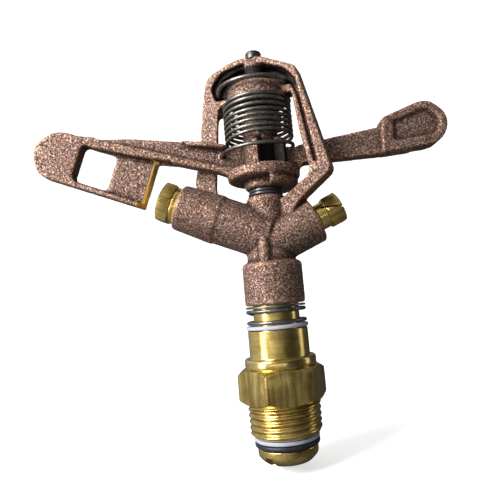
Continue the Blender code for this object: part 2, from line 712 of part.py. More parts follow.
def make_spreader_nozzle(material):
    shank = SPREADER_BORE / 2 - GAP
    seat = SPREADER_BARREL_LENGTH + GAP
    neck = SPREADER_NECK_DIAMETER / 2
    head = seat + SPREADER_NECK_LENGTH
    tip = head + SPREADER_HEX_LENGTH
    inner = SPREADER_BARREL_LENGTH - SPREADER_SHANK_LENGTH
    jet = SPREADER_JET_BORE / 2
    nozzle = barrel_piece("spreader_nozzle", [
        (0.0, inner), (shank, inner), (shank, seat), (neck - 0.4 * MM, seat),
        (neck, seat + 0.6 * MM), (neck, head + MM), (0.0, head + MM),
    ], SPREADER_AXIS_Z, 1, material, sides=FINE_SIDES)
    hexagon_head = hexagon(
        "spreader_hex", SPREADER_HEX_FLATS, head, tip, math.radians(90.0), 0.9 * MM, 0.5 * MM,
    )
    hexagon_head.matrix_world = along_barrel(SPREADER_AXIS_Z, 1)
    bpy.data.objects["spreader_hex_crown"].matrix_world = along_barrel(SPREADER_AXIS_Z, 1)
    drill = barrel_piece("spreader_drill", [
        (0.0, inner - MM), (jet, inner - MM), (jet, tip + MM), (0.0, tip + MM),
    ], SPREADER_AXIS_Z, 1, sides=18, start=HALF_FACET)
    tip_centre = along_barrel(SPREADER_AXIS_Z, 1) @ Vector((0.0, 0.0, tip))
    slit_start = (along_barrel(SPREADER_AXIS_Z, 1) @ Vector((0.0, 0.0, seat + MM))).x
    wide = SPREADER_HEX_FLATS
    slit = block(
        "spreader_slit",
        (slit_start, -wide, tip_centre.z - SPREADER_SLIT / 2),
        (tip_centre.x + wide, wide, tip_centre.z + SPREADER_SLIT / 2),
    )
    fuse(nozzle, hexagon_head)
    cut(nozzle, drill, slit)
    return nozzle


# Pin, bushes and washers of the arm


def make_fulcrum_pin(material):
    pin = PIN_DIAMETER / 2
    head = PIN_HEAD_DIAMETER / 2
    bottom = POST_TOP_Z - PIN_GRIP
    seat = BRIDGE_TOP_Z + GAP
    top = seat + PIN_HEAD_HEIGHT
    turned("fulcrum_pin", [
        (0.0, bottom), (pin - 0.4 * MM, bottom), (pin, bottom + 0.4 * MM), (pin, seat),
        (head, seat), (head, top - 0.9 * MM), (head - 0.3 * MM, top - 0.35 * MM),
        (head - 1.0 * MM, top), (0.0, top),
    ], material, sides=FINE_SIDES)


def make_arm_bushes(bush_material, washer_material, parent):
    bore = PIN_CLEAR_RADIUS
    sleeve = BUSH_DIAMETER / 2
    flange = BUSH_FLANGE_DIAMETER / 2
    turned("arm_bush_lower", [
        (bore, LOWER_BUSH_Z), (flange, LOWER_BUSH_Z), (flange, LOWER_BUSH_Z + BUSH_FLANGE),
        (sleeve, LOWER_BUSH_Z + BUSH_FLANGE), (sleeve, LOWER_BUSH_Z + BUSH_LENGTH),
        (bore, LOWER_BUSH_Z + BUSH_LENGTH),
    ], bush_material, parent, sides=FINE_SIDES)
    turned("arm_bush_upper", [
        (bore, UPPER_BUSH_Z - BUSH_LENGTH), (sleeve, UPPER_BUSH_Z - BUSH_LENGTH),
        (sleeve, UPPER_BUSH_Z - BUSH_FLANGE), (flange, UPPER_BUSH_Z - BUSH_FLANGE),
        (flange, UPPER_BUSH_Z), (bore, UPPER_BUSH_Z),
    ], bush_material, parent, sides=FINE_SIDES)
    for name, bottom in (
        ("arm_washer_lower", LOWER_ARM_WASHER_Z),
        ("arm_washer_upper", UPPER_ARM_WASHER_Z),
    ):
        washer(
            name, ARM_WASHER_DIAMETER / 2, bore, bottom, ARM_WASHER_THICKNESS,
            washer_material, parent,
        )


# Arm casting: outlines in its own plane, in millimetres, with a radius at each corner. The spoon
# is placed from the range nozzle's tip, the web and the tail from the hub's foot


def spoon_place():
    """The range nozzle's tip, from which the spoon's corners are placed."""
    tip = along_barrel(RANGE_AXIS_Z, -1) @ Vector((0.0, 0.0, range_nozzle_tip()))
    return tip.x / MM, tip.z / MM


def spoon_end():
    """The bottom and the top of the spoon's machined end."""
    x, z = spoon_place()
    return Vector((x - 6.2, z - 3.0)) * MM, Vector((x, z + 14.1)) * MM


def arm_outline():
    x, z = spoon_place()
    hub = ARM_HUB_Z / MM
    end = x - SPOON_LENGTH / MM
    brow = z + SPOON_RISE / MM
    tail = (TAIL_REACH - TAIL_PAD_LENGTH) / MM
    return rounded((
        (end + 9.2, brow, 8.0),
        (end, brow - 6.2, 7.0),
        (end + 2.2, brow - 17.0, 6.0),
        (x - 6.2, z - 3.0, 0.8),
        (x, z + 14.1, 0.6),
        (-32.0, hub + 12.0, 6.0),
        (-15.0, hub + 7.1, 12.0),
        (-9.0, hub + 3.4, 0.0),
        (12.0, hub + 3.4, 0.0),
        (15.0, hub + 8.8, 2.0),
        (tail + 1.4, hub + 10.0, 10.0),
        (tail + 12.4, hub + 10.8, 0.0),
        (tail + 12.4, hub + 19.4, 0.0),
        (tail + 0.4, hub + 20.8, 2.0),
        (14.6, hub + 16.0, 2.0),
        (8.0, hub + 15.4, 0.0),
        (-8.0, hub + 17.8, 0.0),
        (-14.3, hub + 18.4, 6.0),
        (-28.0, hub + 21.3, 20.0),
        (x - 10.6, brow - 4.2, 30.0),
        (x - 27.2, brow - 3.5, 12.0),
    ))


def spoon_pocket():
    x, z = spoon_place()
    return rounded((
        (x - 26.9, z + 22.4, 1.6),
        (x - 31.4, z + 9.5, 1.6),
        (x - 4.6, z - 1.9, 0.0),
        (x + 9.4, z + 3.5, 0.0),
        (x + 5.4, z + 13.9, 0.0),
        (x - 8.9, z + 17.2, 0.0),
        (x - 17.6, z + 19.8, 4.0),
    ))


def spoon_window():
    x, z = spoon_place()
    return rounded((
        (x - 27.2, z + 23.0, 1.6),
        (x - 31.7, z + 10.2, 1.6),
        (x - 20.0, z + 5.4, 1.4),
        (x - 15.4, z + 18.4, 1.4),
    ))


def web_pocket():
    x, z = spoon_place()
    hub = ARM_HUB_Z / MM
    return rounded((
        (x - 24.0, z + 25.6, 0.4),
        (x - 17.0, z + 23.2, 0.0),
        (x - 4.0, z + 19.2, 10.0),
        (-32.0, hub + 14.8, 10.0),
        (-15.0, hub + 9.8, 8.0),
        (-7.0, hub + 8.2, 0.0),
        (-4.8, hub + 19.4, 0.0),
        (-14.3, hub + 16.8, 4.0),
        (-28.0, hub + 19.4, 0.0),
        (-36.0, hub + 27.0, 0.0),
        (x - 10.6, hub + 27.0, 0.0),
    ))


def tail_pad():
    hub = ARM_HUB_Z / MM
    start = (TAIL_REACH - TAIL_PAD_LENGTH) / MM
    end = TAIL_REACH / MM
    top = hub + TAIL_RISE / MM
    return rounded((
        (start, hub + 10.1, 1.0),
        (start + 1.0, top - 6.9, 2.0),
        (end - 8.6, top, 8.0),
        (end, top - 8.1, 7.5),
        (end - 4.4, hub + 12.6, 8.0),
    ))


def tail_panel():
    hub = ARM_HUB_Z / MM
    start = (TAIL_REACH - TAIL_PAD_LENGTH) / MM
    end = TAIL_REACH / MM
    top = hub + TAIL_RISE / MM
    return rounded((
        (start + 4.9, hub + 14.2, 1.2),
        (start + 5.3, top - 8.2, 1.2),
        (end - 9.2, top - 3.8, 3.5),
        (end - 3.9, top - 8.7, 4.0),
        (end - 6.4, hub + 16.1, 3.5),
    ))


def make_arm_hub(parent):
    """The hub: foot, disc and long tube round the pin, with ribs above the disc."""
    foot = ARM_FOOT_DIAMETER / 2
    disc = ARM_DISC_DIAMETER / 2
    tube = ARM_HUB_DIAMETER / 2
    soft = 0.8 * MM
    hub = turned("arm_hub", [
        (0.0, ARM_HUB_Z), (foot - soft, ARM_HUB_Z), (foot, ARM_HUB_Z + soft),
        (foot, ARM_DISC_Z), (disc - soft, ARM_DISC_Z), (disc, ARM_DISC_Z + soft),
        (disc, ARM_DISC_TOP_Z - soft), (disc - soft, ARM_DISC_TOP_Z), (tube, ARM_DISC_TOP_Z),
        (tube, ARM_HUB_TOP_Z), (0.0, ARM_HUB_TOP_Z),
    ], parent=parent)
    skirt_radius = ARM_SKIRT_DIAMETER / 2
    skirt = turned("arm_skirt", [
        (0.0, ARM_HUB_Z), (skirt_radius - soft, ARM_HUB_Z), (skirt_radius, ARM_HUB_Z + soft),
        (skirt_radius, ARM_DISC_Z + soft), (0.0, ARM_DISC_Z + soft),
    ], parent=parent)
    half_space = block(
        "skirt_side", (-skirt_radius - MM, -skirt_radius - MM, ARM_HUB_Z - MM),
        (ARM_SKIRT_END_X, skirt_radius + MM, ARM_DISC_TOP_Z), parent=parent,
    )
    cut(skirt, half_space)
    return hub, skirt


def make_hub_ribs(parent):
    reach = HUB_RIB_REACH
    half = HUB_RIB_THICKNESS / 2
    low = ARM_DISC_TOP_Z - 0.5 * MM
    top = ARM_DISC_TOP_Z + HUB_RIB_HEIGHT
    outline = [
        (0.0, low), (reach, low), (reach, top - HUB_RIB_CHAMFER), (reach - HUB_RIB_CHAMFER, top),
        (0.0, top),
    ]
    ribs = []
    for index, degrees in enumerate(HUB_RIB_ANGLES):
        rib = prism("hub_rib_%d" % (index + 1), outline, -half, half, parent=parent)
        rib.rotation_euler = (0.0, 0.0, math.radians(degrees))
        ribs.append(rib)
    return ribs


def make_arm_casting(material, parent):
    half = ARM_THICKNESS / 2
    pad_half = TAIL_PAD_THICKNESS / 2
    arm = prism("arm_casting", arm_outline(), -half, half, material, parent)
    pad = prism("tail_pad", tail_pad(), -pad_half, pad_half, parent=parent)
    hub, skirt = make_arm_hub(parent)
    web_tool = prism("web_pocket", web_pocket(), -BEYOND, half - ARM_WEB, parent=parent)
    inside = ARM_SPRING_RADIUS - ARM_SPRING_WIRE / 2 - SPRING_MARGIN
    outside = ARM_SPRING_RADIUS + ARM_SPRING_WIRE / 2 + SPRING_MARGIN
    right_floor = arm_spring_height(0.45) - ARM_SPRING_WIRE / 2 - GAP
    left_floor = arm_spring_height(0.95) - ARM_SPRING_WIRE / 2 - GAP
    trench = turned("spring_trench", [
        (inside, right_floor), (outside, right_floor), (outside, ARM_HUB_TOP_Z),
        (inside, ARM_HUB_TOP_Z),
    ], parent=parent)
    left_guard = block(
        "trench_left", (-BEYOND, -BEYOND, right_floor - MM),
        (-BUSH_CLEAR_RADIUS, BEYOND, left_floor), parent=parent,
    )
    cut(trench, left_guard)
    cut(arm, web_tool, trench)
    fuse(arm, pad, hub, skirt, *make_hub_ribs(parent))
    bottom, top = spoon_end()
    lean = math.atan2(top.x - bottom.x, top.y - bottom.y)
    bevel = block(
        "spoon_bevel", (0.0, -BEYOND, -BEVEL_MARGIN),
        (BEYOND, BEVEL_MARGIN, (top - bottom).length), parent=parent,
    )
    bevel.matrix_local = (
        Matrix.Translation((bottom.x, half, bottom.y)) @ Matrix.Rotation(lean, 4, "Y")
        @ Matrix.Rotation(-SPOON_BEVEL, 4, "Z")
    )
    pocket = prism("spoon_pocket", spoon_pocket(), -BEYOND, half - SPOON_PLATE, parent=parent)
    window = prism("spoon_window", spoon_window(), -BEYOND, BEYOND, parent=parent)
    panel = prism("tail_panel", tail_panel(), -BEYOND, -pad_half + TAIL_RECESS, parent=parent)
    hole = SPRING_HOLE_DIAMETER / 2
    hook = turned(
        "hook_hole", [(0.0, -BEYOND), (hole, -BEYOND), (hole, BEYOND), (0.0, BEYOND)], sides=12,
    )
    hook.parent = parent
    hook.matrix_local = (
        Matrix.Translation((HOOK_HOLE_X, 0.0, HOOK_HOLE_Z)) @ Matrix.Rotation(math.pi / 2, 4, "X")
    )
    bush = BUSH_CLEAR_RADIUS
    pin = PIN_CLEAR_RADIUS + GAP
    lower_depth = LOWER_BUSH_Z + BUSH_LENGTH + GAP
    upper_depth = UPPER_BUSH_Z - BUSH_LENGTH - GAP
    bore = turned("arm_bore", [
        (0.0, ARM_HUB_Z - MM), (bush, ARM_HUB_Z - MM), (bush, lower_depth), (pin, lower_depth),
        (pin, upper_depth), (bush, upper_depth), (bush, ARM_HUB_TOP_Z + MM),
        (0.0, ARM_HUB_TOP_Z + MM),
    ], parent=parent, sides=FINE_SIDES)
    cut(arm, bevel, pocket, window, panel, hook, bore)
    return arm


# Springs


def arm_spring_turns():
    """Turns from the hook in the arm to the hole in the bridge."""
    whole = ARM_LEAD_IN_TURNS + ARM_STACK_TURNS + 0.75
    start = ARM_TURN + math.pi
    end = BRIDGE_TURN
    part = ((end - start) / (2 * math.pi)) % 1.0
    return math.floor(whole) + part


def arm_spring_height(turn):
    """The wire's height after so many turns: lead-in, even stack, climb behind, level top."""
    stack_end = ARM_LEAD_IN_TURNS + ARM_STACK_TURNS
    stack_top = ARM_STACK_BOTTOM_Z + ARM_STACK_TURNS * ARM_STACK_PITCH
    if turn <= ARM_LEAD_IN_TURNS:
        share = turn / ARM_LEAD_IN_TURNS
        return HOOK_HOLE_Z + (ARM_STACK_BOTTOM_Z - HOOK_HOLE_Z) * share
    if turn <= stack_end:
        return ARM_STACK_BOTTOM_Z + (turn - ARM_LEAD_IN_TURNS) * ARM_STACK_PITCH
    flat_start = arm_spring_turns() - ARM_TOP_FLAT_TURNS
    share = min((turn - stack_end) / (flat_start - stack_end), 1.0)
    return stack_top + (TOP_HOOK_Z - stack_top) * share


def arm_spring_radius(turn):
    """The coil's radius: wider at the hook and round the bridge's boss."""
    foot = -HOOK_HOLE_X
    turns = arm_spring_turns()
    if turn < 0.5:
        return foot + (ARM_SPRING_RADIUS - foot) * turn / 0.5
    if turn < turns - 1.0:
        return ARM_SPRING_RADIUS
    if turn < turns - 0.5:
        share = (turn - turns + 1.0) / 0.5
        return ARM_SPRING_RADIUS + (ARM_SPRING_TOP_RADIUS - ARM_SPRING_RADIUS) * share
    share = (turn - turns + 0.5) / 0.5
    return ARM_SPRING_TOP_RADIUS + (TOP_HOOK_X - ARM_SPRING_TOP_RADIUS) * share


def arm_spring_points():
    turns = arm_spring_turns()
    start = ARM_TURN + math.pi
    steps = math.ceil(turns * POINTS_PER_TURN)
    points = []
    for step in range(steps + 1):
        turn = turns * step / steps
        angle = start + 2 * math.pi * turn
        radius = arm_spring_radius(turn)
        points.append(Vector((
            radius * math.cos(angle), radius * math.sin(angle), arm_spring_height(turn),
        )))
    first_way = Vector((math.sin(start), -math.cos(start), 0.0))
    last_way = Vector((-math.sin(BRIDGE_TURN), math.cos(BRIDGE_TURN), 0.0))
    return [points[0] + first_way * HOOK_STRAIGHT] + points + [points[-1] + last_way * HOOK_STRAIGHT]


def bearing_spring_points():
    low = BEARING_SPRING_Z + BEARING_SPRING_WIRE / 2
    high = BEARING_SPRING_Z + BEARING_SPRING_HEIGHT - BEARING_SPRING_WIRE / 2
    radius = BEARING_SPRING_RADIUS
    climb = BEARING_SPRING_TURNS - 2 * BEARING_SPRING_FLAT
    steps = math.ceil(BEARING_SPRING_TURNS * POINTS_PER_TURN)
    points = []
    for step in range(steps + 1):
        turn = BEARING_SPRING_TURNS * step / steps
        share = min(max((turn - BEARING_SPRING_FLAT) / climb, 0.0), 1.0)
        angle = math.radians(150.0) + 2 * math.pi * turn
        points.append(Vector((
            radius * math.cos(angle), radius * math.sin(angle), low + (high - low) * share,
        )))
    return points


def least_gap(points, wire):
    """The least distance between stretches of the wire that are not neighbours, less the wire."""
    nearest = math.inf
    fine = []
    for start, end in zip(points, points[1:]):
        fine += [start.lerp(end, share / 3) for share in range(3)]
    skip = POINTS_PER_TURN * 3 // 2
    for index, point in enumerate(fine):
        for other in fine[index + skip:]:
            nearest = min(nearest, (point - other).length)
    return nearest - wire


def make_spring(name, points, wire, material):
    curve = bpy.data.curves.new(name, "CURVE")
    curve.dimensions = "3D"
    curve.bevel_depth = wire / 2
    curve.bevel_resolution = 1
    curve.use_fill_caps = True
    curve.render_resolution_u = 0
    spline = curve.splines.new("POLY")
    spline.points.add(len(points) - 1)
    for place, point in zip(spline.points, points):
        place.co = (*point, 1.0)
    curve.materials.append(material)
    spring = bpy.data.objects.new(name, curve)
    bpy.context.collection.objects.link(spring)
    print("%s: least gap to itself %.2f mm" % (name, least_gap(points, wire) / MM))
    return spring


def build():
    clear_scene()
    bronze = make_material("bronze_casting", (0.30, 0.19, 0.13), 0.5, 1.0)
    brass = make_material("brass", (0.72, 0.56, 0.22), 0.28, 1.0)
    steel = make_material("spring_steel", (0.52, 0.51, 0.48), 0.32, 1.0)
    white = make_material("white_plastic", (0.85, 0.85, 0.84), 0.5, 0.0)
    rubber = make_material("black_rubber", (0.02, 0.02, 0.02), 0.75, 0.0)
    grey = make_material("grey_plastic", (0.28, 0.29, 0.30), 0.5, 0.0)

    arm_axis = add_empty("arm_axis", ARM_TURN)
    bridge_plane = add_empty("bridge_plane", BRIDGE_TURN)

    make_bearing_nipple(brass)
    make_bearing_tube(brass)
    make_bearing_washers(white, rubber, steel)
    make_spring("bearing_spring", bearing_spring_points(), BEARING_SPRING_WIRE, steel)
    make_body_casting(bronze, bridge_plane)
    make_range_nozzle(brass)
    make_stream_vane(grey)
    make_spreader_nozzle(brass)
    make_fulcrum_pin(steel)
    make_arm_bushes(white, white, arm_axis)
    make_arm_casting(bronze, arm_axis)
    make_spring("arm_spring", arm_spring_points(), ARM_SPRING_WIRE, steel)


build()
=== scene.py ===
# Visual model of the impact sprinkler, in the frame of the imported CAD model.
import math

import bmesh
import bpy
import numpy as np
from mathutils import Matrix, Vector, noise
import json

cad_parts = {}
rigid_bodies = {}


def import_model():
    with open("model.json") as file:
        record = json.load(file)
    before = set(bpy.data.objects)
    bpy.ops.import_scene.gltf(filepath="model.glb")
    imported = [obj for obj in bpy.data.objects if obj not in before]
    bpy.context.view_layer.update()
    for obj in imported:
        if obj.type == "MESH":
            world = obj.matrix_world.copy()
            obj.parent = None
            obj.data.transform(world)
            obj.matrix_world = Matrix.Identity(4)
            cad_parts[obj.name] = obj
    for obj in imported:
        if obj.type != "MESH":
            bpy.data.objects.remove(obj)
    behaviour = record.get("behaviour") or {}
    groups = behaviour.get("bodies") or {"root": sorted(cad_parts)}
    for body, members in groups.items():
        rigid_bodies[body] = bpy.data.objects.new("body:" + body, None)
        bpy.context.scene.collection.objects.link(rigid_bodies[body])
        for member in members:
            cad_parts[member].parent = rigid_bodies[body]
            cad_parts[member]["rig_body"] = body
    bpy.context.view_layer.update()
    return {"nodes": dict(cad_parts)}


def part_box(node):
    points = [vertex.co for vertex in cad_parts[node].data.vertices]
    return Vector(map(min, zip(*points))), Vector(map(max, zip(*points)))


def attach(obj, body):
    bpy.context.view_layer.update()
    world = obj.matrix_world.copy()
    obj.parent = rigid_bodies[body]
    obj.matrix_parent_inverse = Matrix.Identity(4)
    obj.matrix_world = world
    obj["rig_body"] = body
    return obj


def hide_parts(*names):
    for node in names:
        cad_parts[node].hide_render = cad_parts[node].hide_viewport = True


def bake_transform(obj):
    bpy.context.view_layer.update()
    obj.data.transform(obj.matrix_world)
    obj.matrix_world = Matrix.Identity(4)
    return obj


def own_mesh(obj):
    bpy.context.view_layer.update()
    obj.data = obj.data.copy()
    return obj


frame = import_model()

MM = 0.001
NODES = frame["nodes"]


# Bearing: radii, and heights over the underside of the hex

HEX_CORNER = math.radians(10.0)
HEX_FLATS = 28.0 * MM
HEX_HEIGHT = 12.0 * MM
HEX_CORE = 11.0 * MM
THREAD_RADIUS = 13.2 * MM
THREAD_BOTTOM = -11.4 * MM
THREAD_TOP = 0.4 * MM
THREAD_PITCH = 2.1 * MM
THREAD_DEPTH = 0.75 * MM
THREAD_TAPER = 0.25 * MM
THREAD_LEAD_RADIUS = 11.7 * MM
THREAD_LEAD_SLOPE = 1.1
BEARING_BORE = 8.8 * MM
NIPPLE_CORE = 12.0 * MM
NIPPLE_CORE_BOTTOM = 0.2 * MM
NIPPLE_CORE_TOP = 11.4 * MM
COLLAR_RADIUS = 13.0 * MM
COLLAR_FOOT = 11.6 * MM
COLLAR_BOTTOM = 12.6 * MM
COLLAR_TOP = 15.6 * MM
SLEEVE_RADIUS = 11.0 * MM
SLEEVE_TOP = 25.5 * MM


# Turning tube: radii, and heights over its lower end

TUBE_BORE = 6.3 * MM
TUBE_RADIUS = 8.5 * MM
TUBE_TIP = 8.2 * MM
FLANGE_RADIUS = 10.8 * MM
FLANGE_BOTTOM = 2.4 * MM
FLANGE_TOP = 5.4 * MM
SLOT_WIDTH = 3.0 * MM
SLOT_DEPTH = 3.2 * MM
SLOT_TURN = math.radians(50.0)


# Nozzles: radii, and places along the barrel from the turning axis

BARREL_RISE = math.radians(23.5)
RANGE_AXIS_Z = 59.6 * MM
RANGE_BACK = 26.9 * MM
RANGE_BACK_BORE = 4.7 * MM
RANGE_SHANK = 5.7 * MM
RANGE_SEAT = 36.2 * MM
RANGE_COLLAR = 7.0 * MM
RANGE_HEX_START = 38.2 * MM
RANGE_HEX_FLATS = 14.2 * MM
RANGE_JET = 2.4 * MM
RANGE_JET_START = 40.5 * MM
RANGE_TIP = 42.9 * MM
SPREADER_AXIS_Z = 56.8 * MM
SPREADER_BACK = 11.8 * MM
SPREADER_BORE = 1.8 * MM
SPREADER_SHANK = 4.1 * MM
SPREADER_SEAT = 20.1 * MM
SPREADER_COLLAR = 5.0 * MM
SPREADER_HEX_START = 23.7 * MM
SPREADER_HEX_FLATS = 11.0 * MM
SPREADER_TIP = 30.1 * MM
SPREADER_SLIT = 0.7 * MM
SPREADER_SLIT_DROP = 0.8 * MM
SPREADER_SLIT_BACK = 2.5 * MM


# Pin and bushes: radii and heights

PIN_AXIS = 0.3 * MM
PIN_RADIUS = 2.5 * MM
PIN_HEAD = 3.1 * MM
PIN_HEAD_Z = 129.5 * MM
BUSH_BORE = 2.8 * MM
BUSH_SLEEVE = 4.6 * MM
BUSH_FLANGE = 6.2 * MM
BUSH_FLANGE_THICK = 1.0 * MM


# Castings: how the arm and the bridge are turned, and the rounding, the edge wear with painted
# shade in creases, and the skin

ARM_TURN = math.radians(3.0)
ARM_HALF = 3.0 * MM
BRIDGE_TURN = math.radians(-20.07)
BODY_ROUNDS = 9
ARM_ROUNDS = 12
VOXEL = 0.35 * MM
EDGE_SHARE = 0.5
MILLED_EDGE_SHARE = 0.1
CURVATURE_ROUNDS = 14
CURVATURE_BULGE = 0.12 * MM
SKIN_COARSE = 420.0
SKIN_FINE = 1100.0
SKIN_FINE_SHARE = 0.6
SKIN_DEPTH = 0.045 * MM


# Milled parts of the castings: a pair is where a fade starts and ends

BODY_BORE = (8.95 * MM, 9.3 * MM)
BODY_BORE_TOP = 47.0 * MM
BODY_FOOT = (0.15 * MM, 0.45 * MM)
RANGE_FACE = 35.9 * MM
RANGE_BORE = 6.1 * MM
SPREADER_FACE = 19.8 * MM
SPREADER_THREAD_BORE = 4.5 * MM
BARREL_FACE = (0.2 * MM, 0.5 * MM)
BARREL_FACE_RADIUS = 9.6 * MM
BARREL_BORE_FADE = 0.3 * MM
BARREL_BORE_START = 8.0 * MM
ARM_BORE = (5.0 * MM, 5.3 * MM)
SPOON_END_LEAN = 6.2 * MM
SPOON_END_BELOW = 3.0 * MM
SPOON_END_ABOVE = 14.1 * MM
SPOON_END_BEVEL = math.radians(22.0)
SPOON_END = (0.8 * MM, 1.1 * MM)
SPOON_END_START = -1.0 * MM
SPOON_END_STOP = 19.0 * MM
SPOON_END_REACH = -4.5 * MM


# Painted shade on the castings where they lie in shadow: a pair is where a fade starts and ends,
# angles are in degrees

HOLLOW_DARK_FRONT = (-2.7 * MM, -1.9 * MM)
HOLLOW_DARK_BACK = (2.0 * MM, 2.4 * MM)
HOLLOW_DARK_REACH = (1.7 * MM, 2.2 * MM)
HOLLOW_DARK_BOTTOM = (114.4 * MM, 115.4 * MM)
TUBE_DARK_RADIUS = (4.3 * MM, 4.7 * MM)
TUBE_DARK_BOTTOM = (117.4 * MM, 118.2 * MM)
TUBE_DARK_TOP = (125.4 * MM, 126.6 * MM)
NICHE_START = (264.0, 270.0)
NICHE_END = (326.0, 334.0)
NICHE_RADIUS = (11.4 * MM, 12.0 * MM)
NICHE_BOTTOM = (7.6 * MM, 8.2 * MM)
NICHE_TOP = (20.0 * MM, 22.0 * MM)
DISC_BELOW = (3.2 * MM, 4.0 * MM)
DISC_SHADE = 0.45
HOOK_HOLE = (1.25 * MM, 1.6 * MM)


# Forms cut from the castings or added to them: outlines in millimetres

HOLLOW = (
    (-15.6, 118.2), (-16.2, 120.8), (-13.0, 124.4), (-6.0, 126.6), (1.6, 126.5), (8.4, 123.9),
    (12.8, 120.8), (14.2, 118.2),
)
HOLLOW_FRONT = -9.0 * MM
HOLLOW_BACK = 2.0 * MM
WALL = (
    (-16.6, 116.8), (-18.4, 121.4), (-13.6, 127.0), (-3.0, 128.7), (2.8, 127.8), (9.6, 125.0),
    (13.8, 122.2), (15.4, 116.8),
)
WALL_FRONT = 1.2 * MM
WALL_BACK = 3.3 * MM
PIN_TUBE_BORE = 2.7 * MM
PIN_TUBE_RADIUS = 3.9 * MM
PIN_TUBE_BOTTOM = 116.6 * MM
PIN_TUBE_TOP = 127.4 * MM
LEG_DRAFT = (
    (-18.3, 77.4), (-18.6, 82.0), (-17.6, 91.0), (-16.4, 101.0), (-15.9, 107.0), (-15.2, 110.4),
    (-11.0, 110.4), (-11.0, 74.2), (-14.0, 75.5),
)
LEG_DRAFT_FRONT = -3.5 * MM
LEG_DRAFT_BACK = 4.0 * MM
LEG_DRAFT_LEAN = -3.3 * MM
RIM_FADE = ((-34.0, -3.6), (-19.0, -3.6), (-21.0, -3.0), (-27.5, -1.15), (-34.0, -1.15))
RIM_FADE_BOTTOM = 94.4 * MM
RIM_FADE_TOP = 112.0 * MM
HOOK_PLUG_RADIUS = 1.5 * MM
HOOK_PLUG_LENGTH = 1.1 * MM


# Springs: the arm spring's heights are pairs of turns and millimetres over the hex

ARM_SPRING_WIRE = 1.4 * MM
ARM_SPRING_TURNS = 9.436
ARM_SPRING_RADIUS = 12.55 * MM
ARM_SPRING_FOOT = 14.9 * MM
ARM_SPRING_TOP = 15.0 * MM
ARM_SPRING_HOOK = 13.4 * MM
ARM_SPRING_SHIFT = -0.45 * MM
ARM_SPRING_CHANGE = 0.5
ARM_SPRING_HEIGHTS = (
    (0.0, 91.9), (0.24, 91.5), (0.36, 92.4), (0.47, 93.9), (1.24, 97.2), (2.24, 99.0),
    (3.24, 101.1), (4.24, 103.0), (5.24, 104.9), (6.24, 107.0), (7.24, 109.2), (8.24, 110.9),
    (8.45, 111.4), (8.88, 117.1), (9.24, 116.5), (9.436, 117.1),
)
HOOK_Z = 91.9 * MM
HOOK_LENGTH = 1.6 * MM
BEARING_SPRING_WIRE = 1.4 * MM
BEARING_SPRING_RADIUS = 10.4 * MM
BEARING_SPRING_TURNS = 1.85
BEARING_SPRING_FLAT = 0.72
BEARING_SPRING_START = math.radians(150.0)


# Camera, fitted to the photograph: the roll's cosine and sine, and lengths in metres

PITCH = math.radians(6.3)
ROLL_COS = 0.9959
ROLL_SIN = 0.0900
CAMERA_PLACE = (0.0, -0.175, 0.036)
SENSOR_WIDTH = 36.0
PHOTO_SIZE = 500.0
FOCAL_PX = 470.0
AXIS_SHIFT_PX = 20.5


# Stage and light, in metres

FLOOR_Z = -0.0245
SHEET_HALF_WIDTH = 2.4
SHEET_FRONT = -1.6
SHEET_MIDDLE = -0.6
SHEET_BEND = 0.15
SHEET_BEND_RADIUS = 0.35
SHEET_TOP = 2.2
SHEET_GLOW = 0.55
FLOOR_GLOW = 0.24


# Sharp edges above an angle in degrees, and the turned corners of the hexagons

SHARP = 35.0
CUT_SHARP = 38.0
WIRE_SHARP = 60.0
HEX_CROWN_INSET = 0.3 * MM
HEX_CROWN_WIDE = 1.0 * MM
HEX_CROWN_PAST = 0.5 * MM


# Materials


def colour_sockets(sockets):
    """The colour sockets of a mixing node, which also has some for numbers and vectors."""
    return [socket for socket in sockets if socket.type == "RGBA"]


def colour_ramp(tree, value, stops):
    """A ramp over stops of (place, colour). A colour may be one number."""
    node = tree.nodes.new("ShaderNodeValToRGB")
    elements = node.color_ramp.elements
    while len(elements) < len(stops):
        elements.new(0.5)
    for element, (place, colour) in zip(elements, stops):
        element.position = place
        element.color = (*colour, 1.0) if isinstance(colour, tuple) else (colour,) * 3 + (1.0,)
    tree.links.new(value, node.inputs["Fac"])
    return node.outputs["Color"]


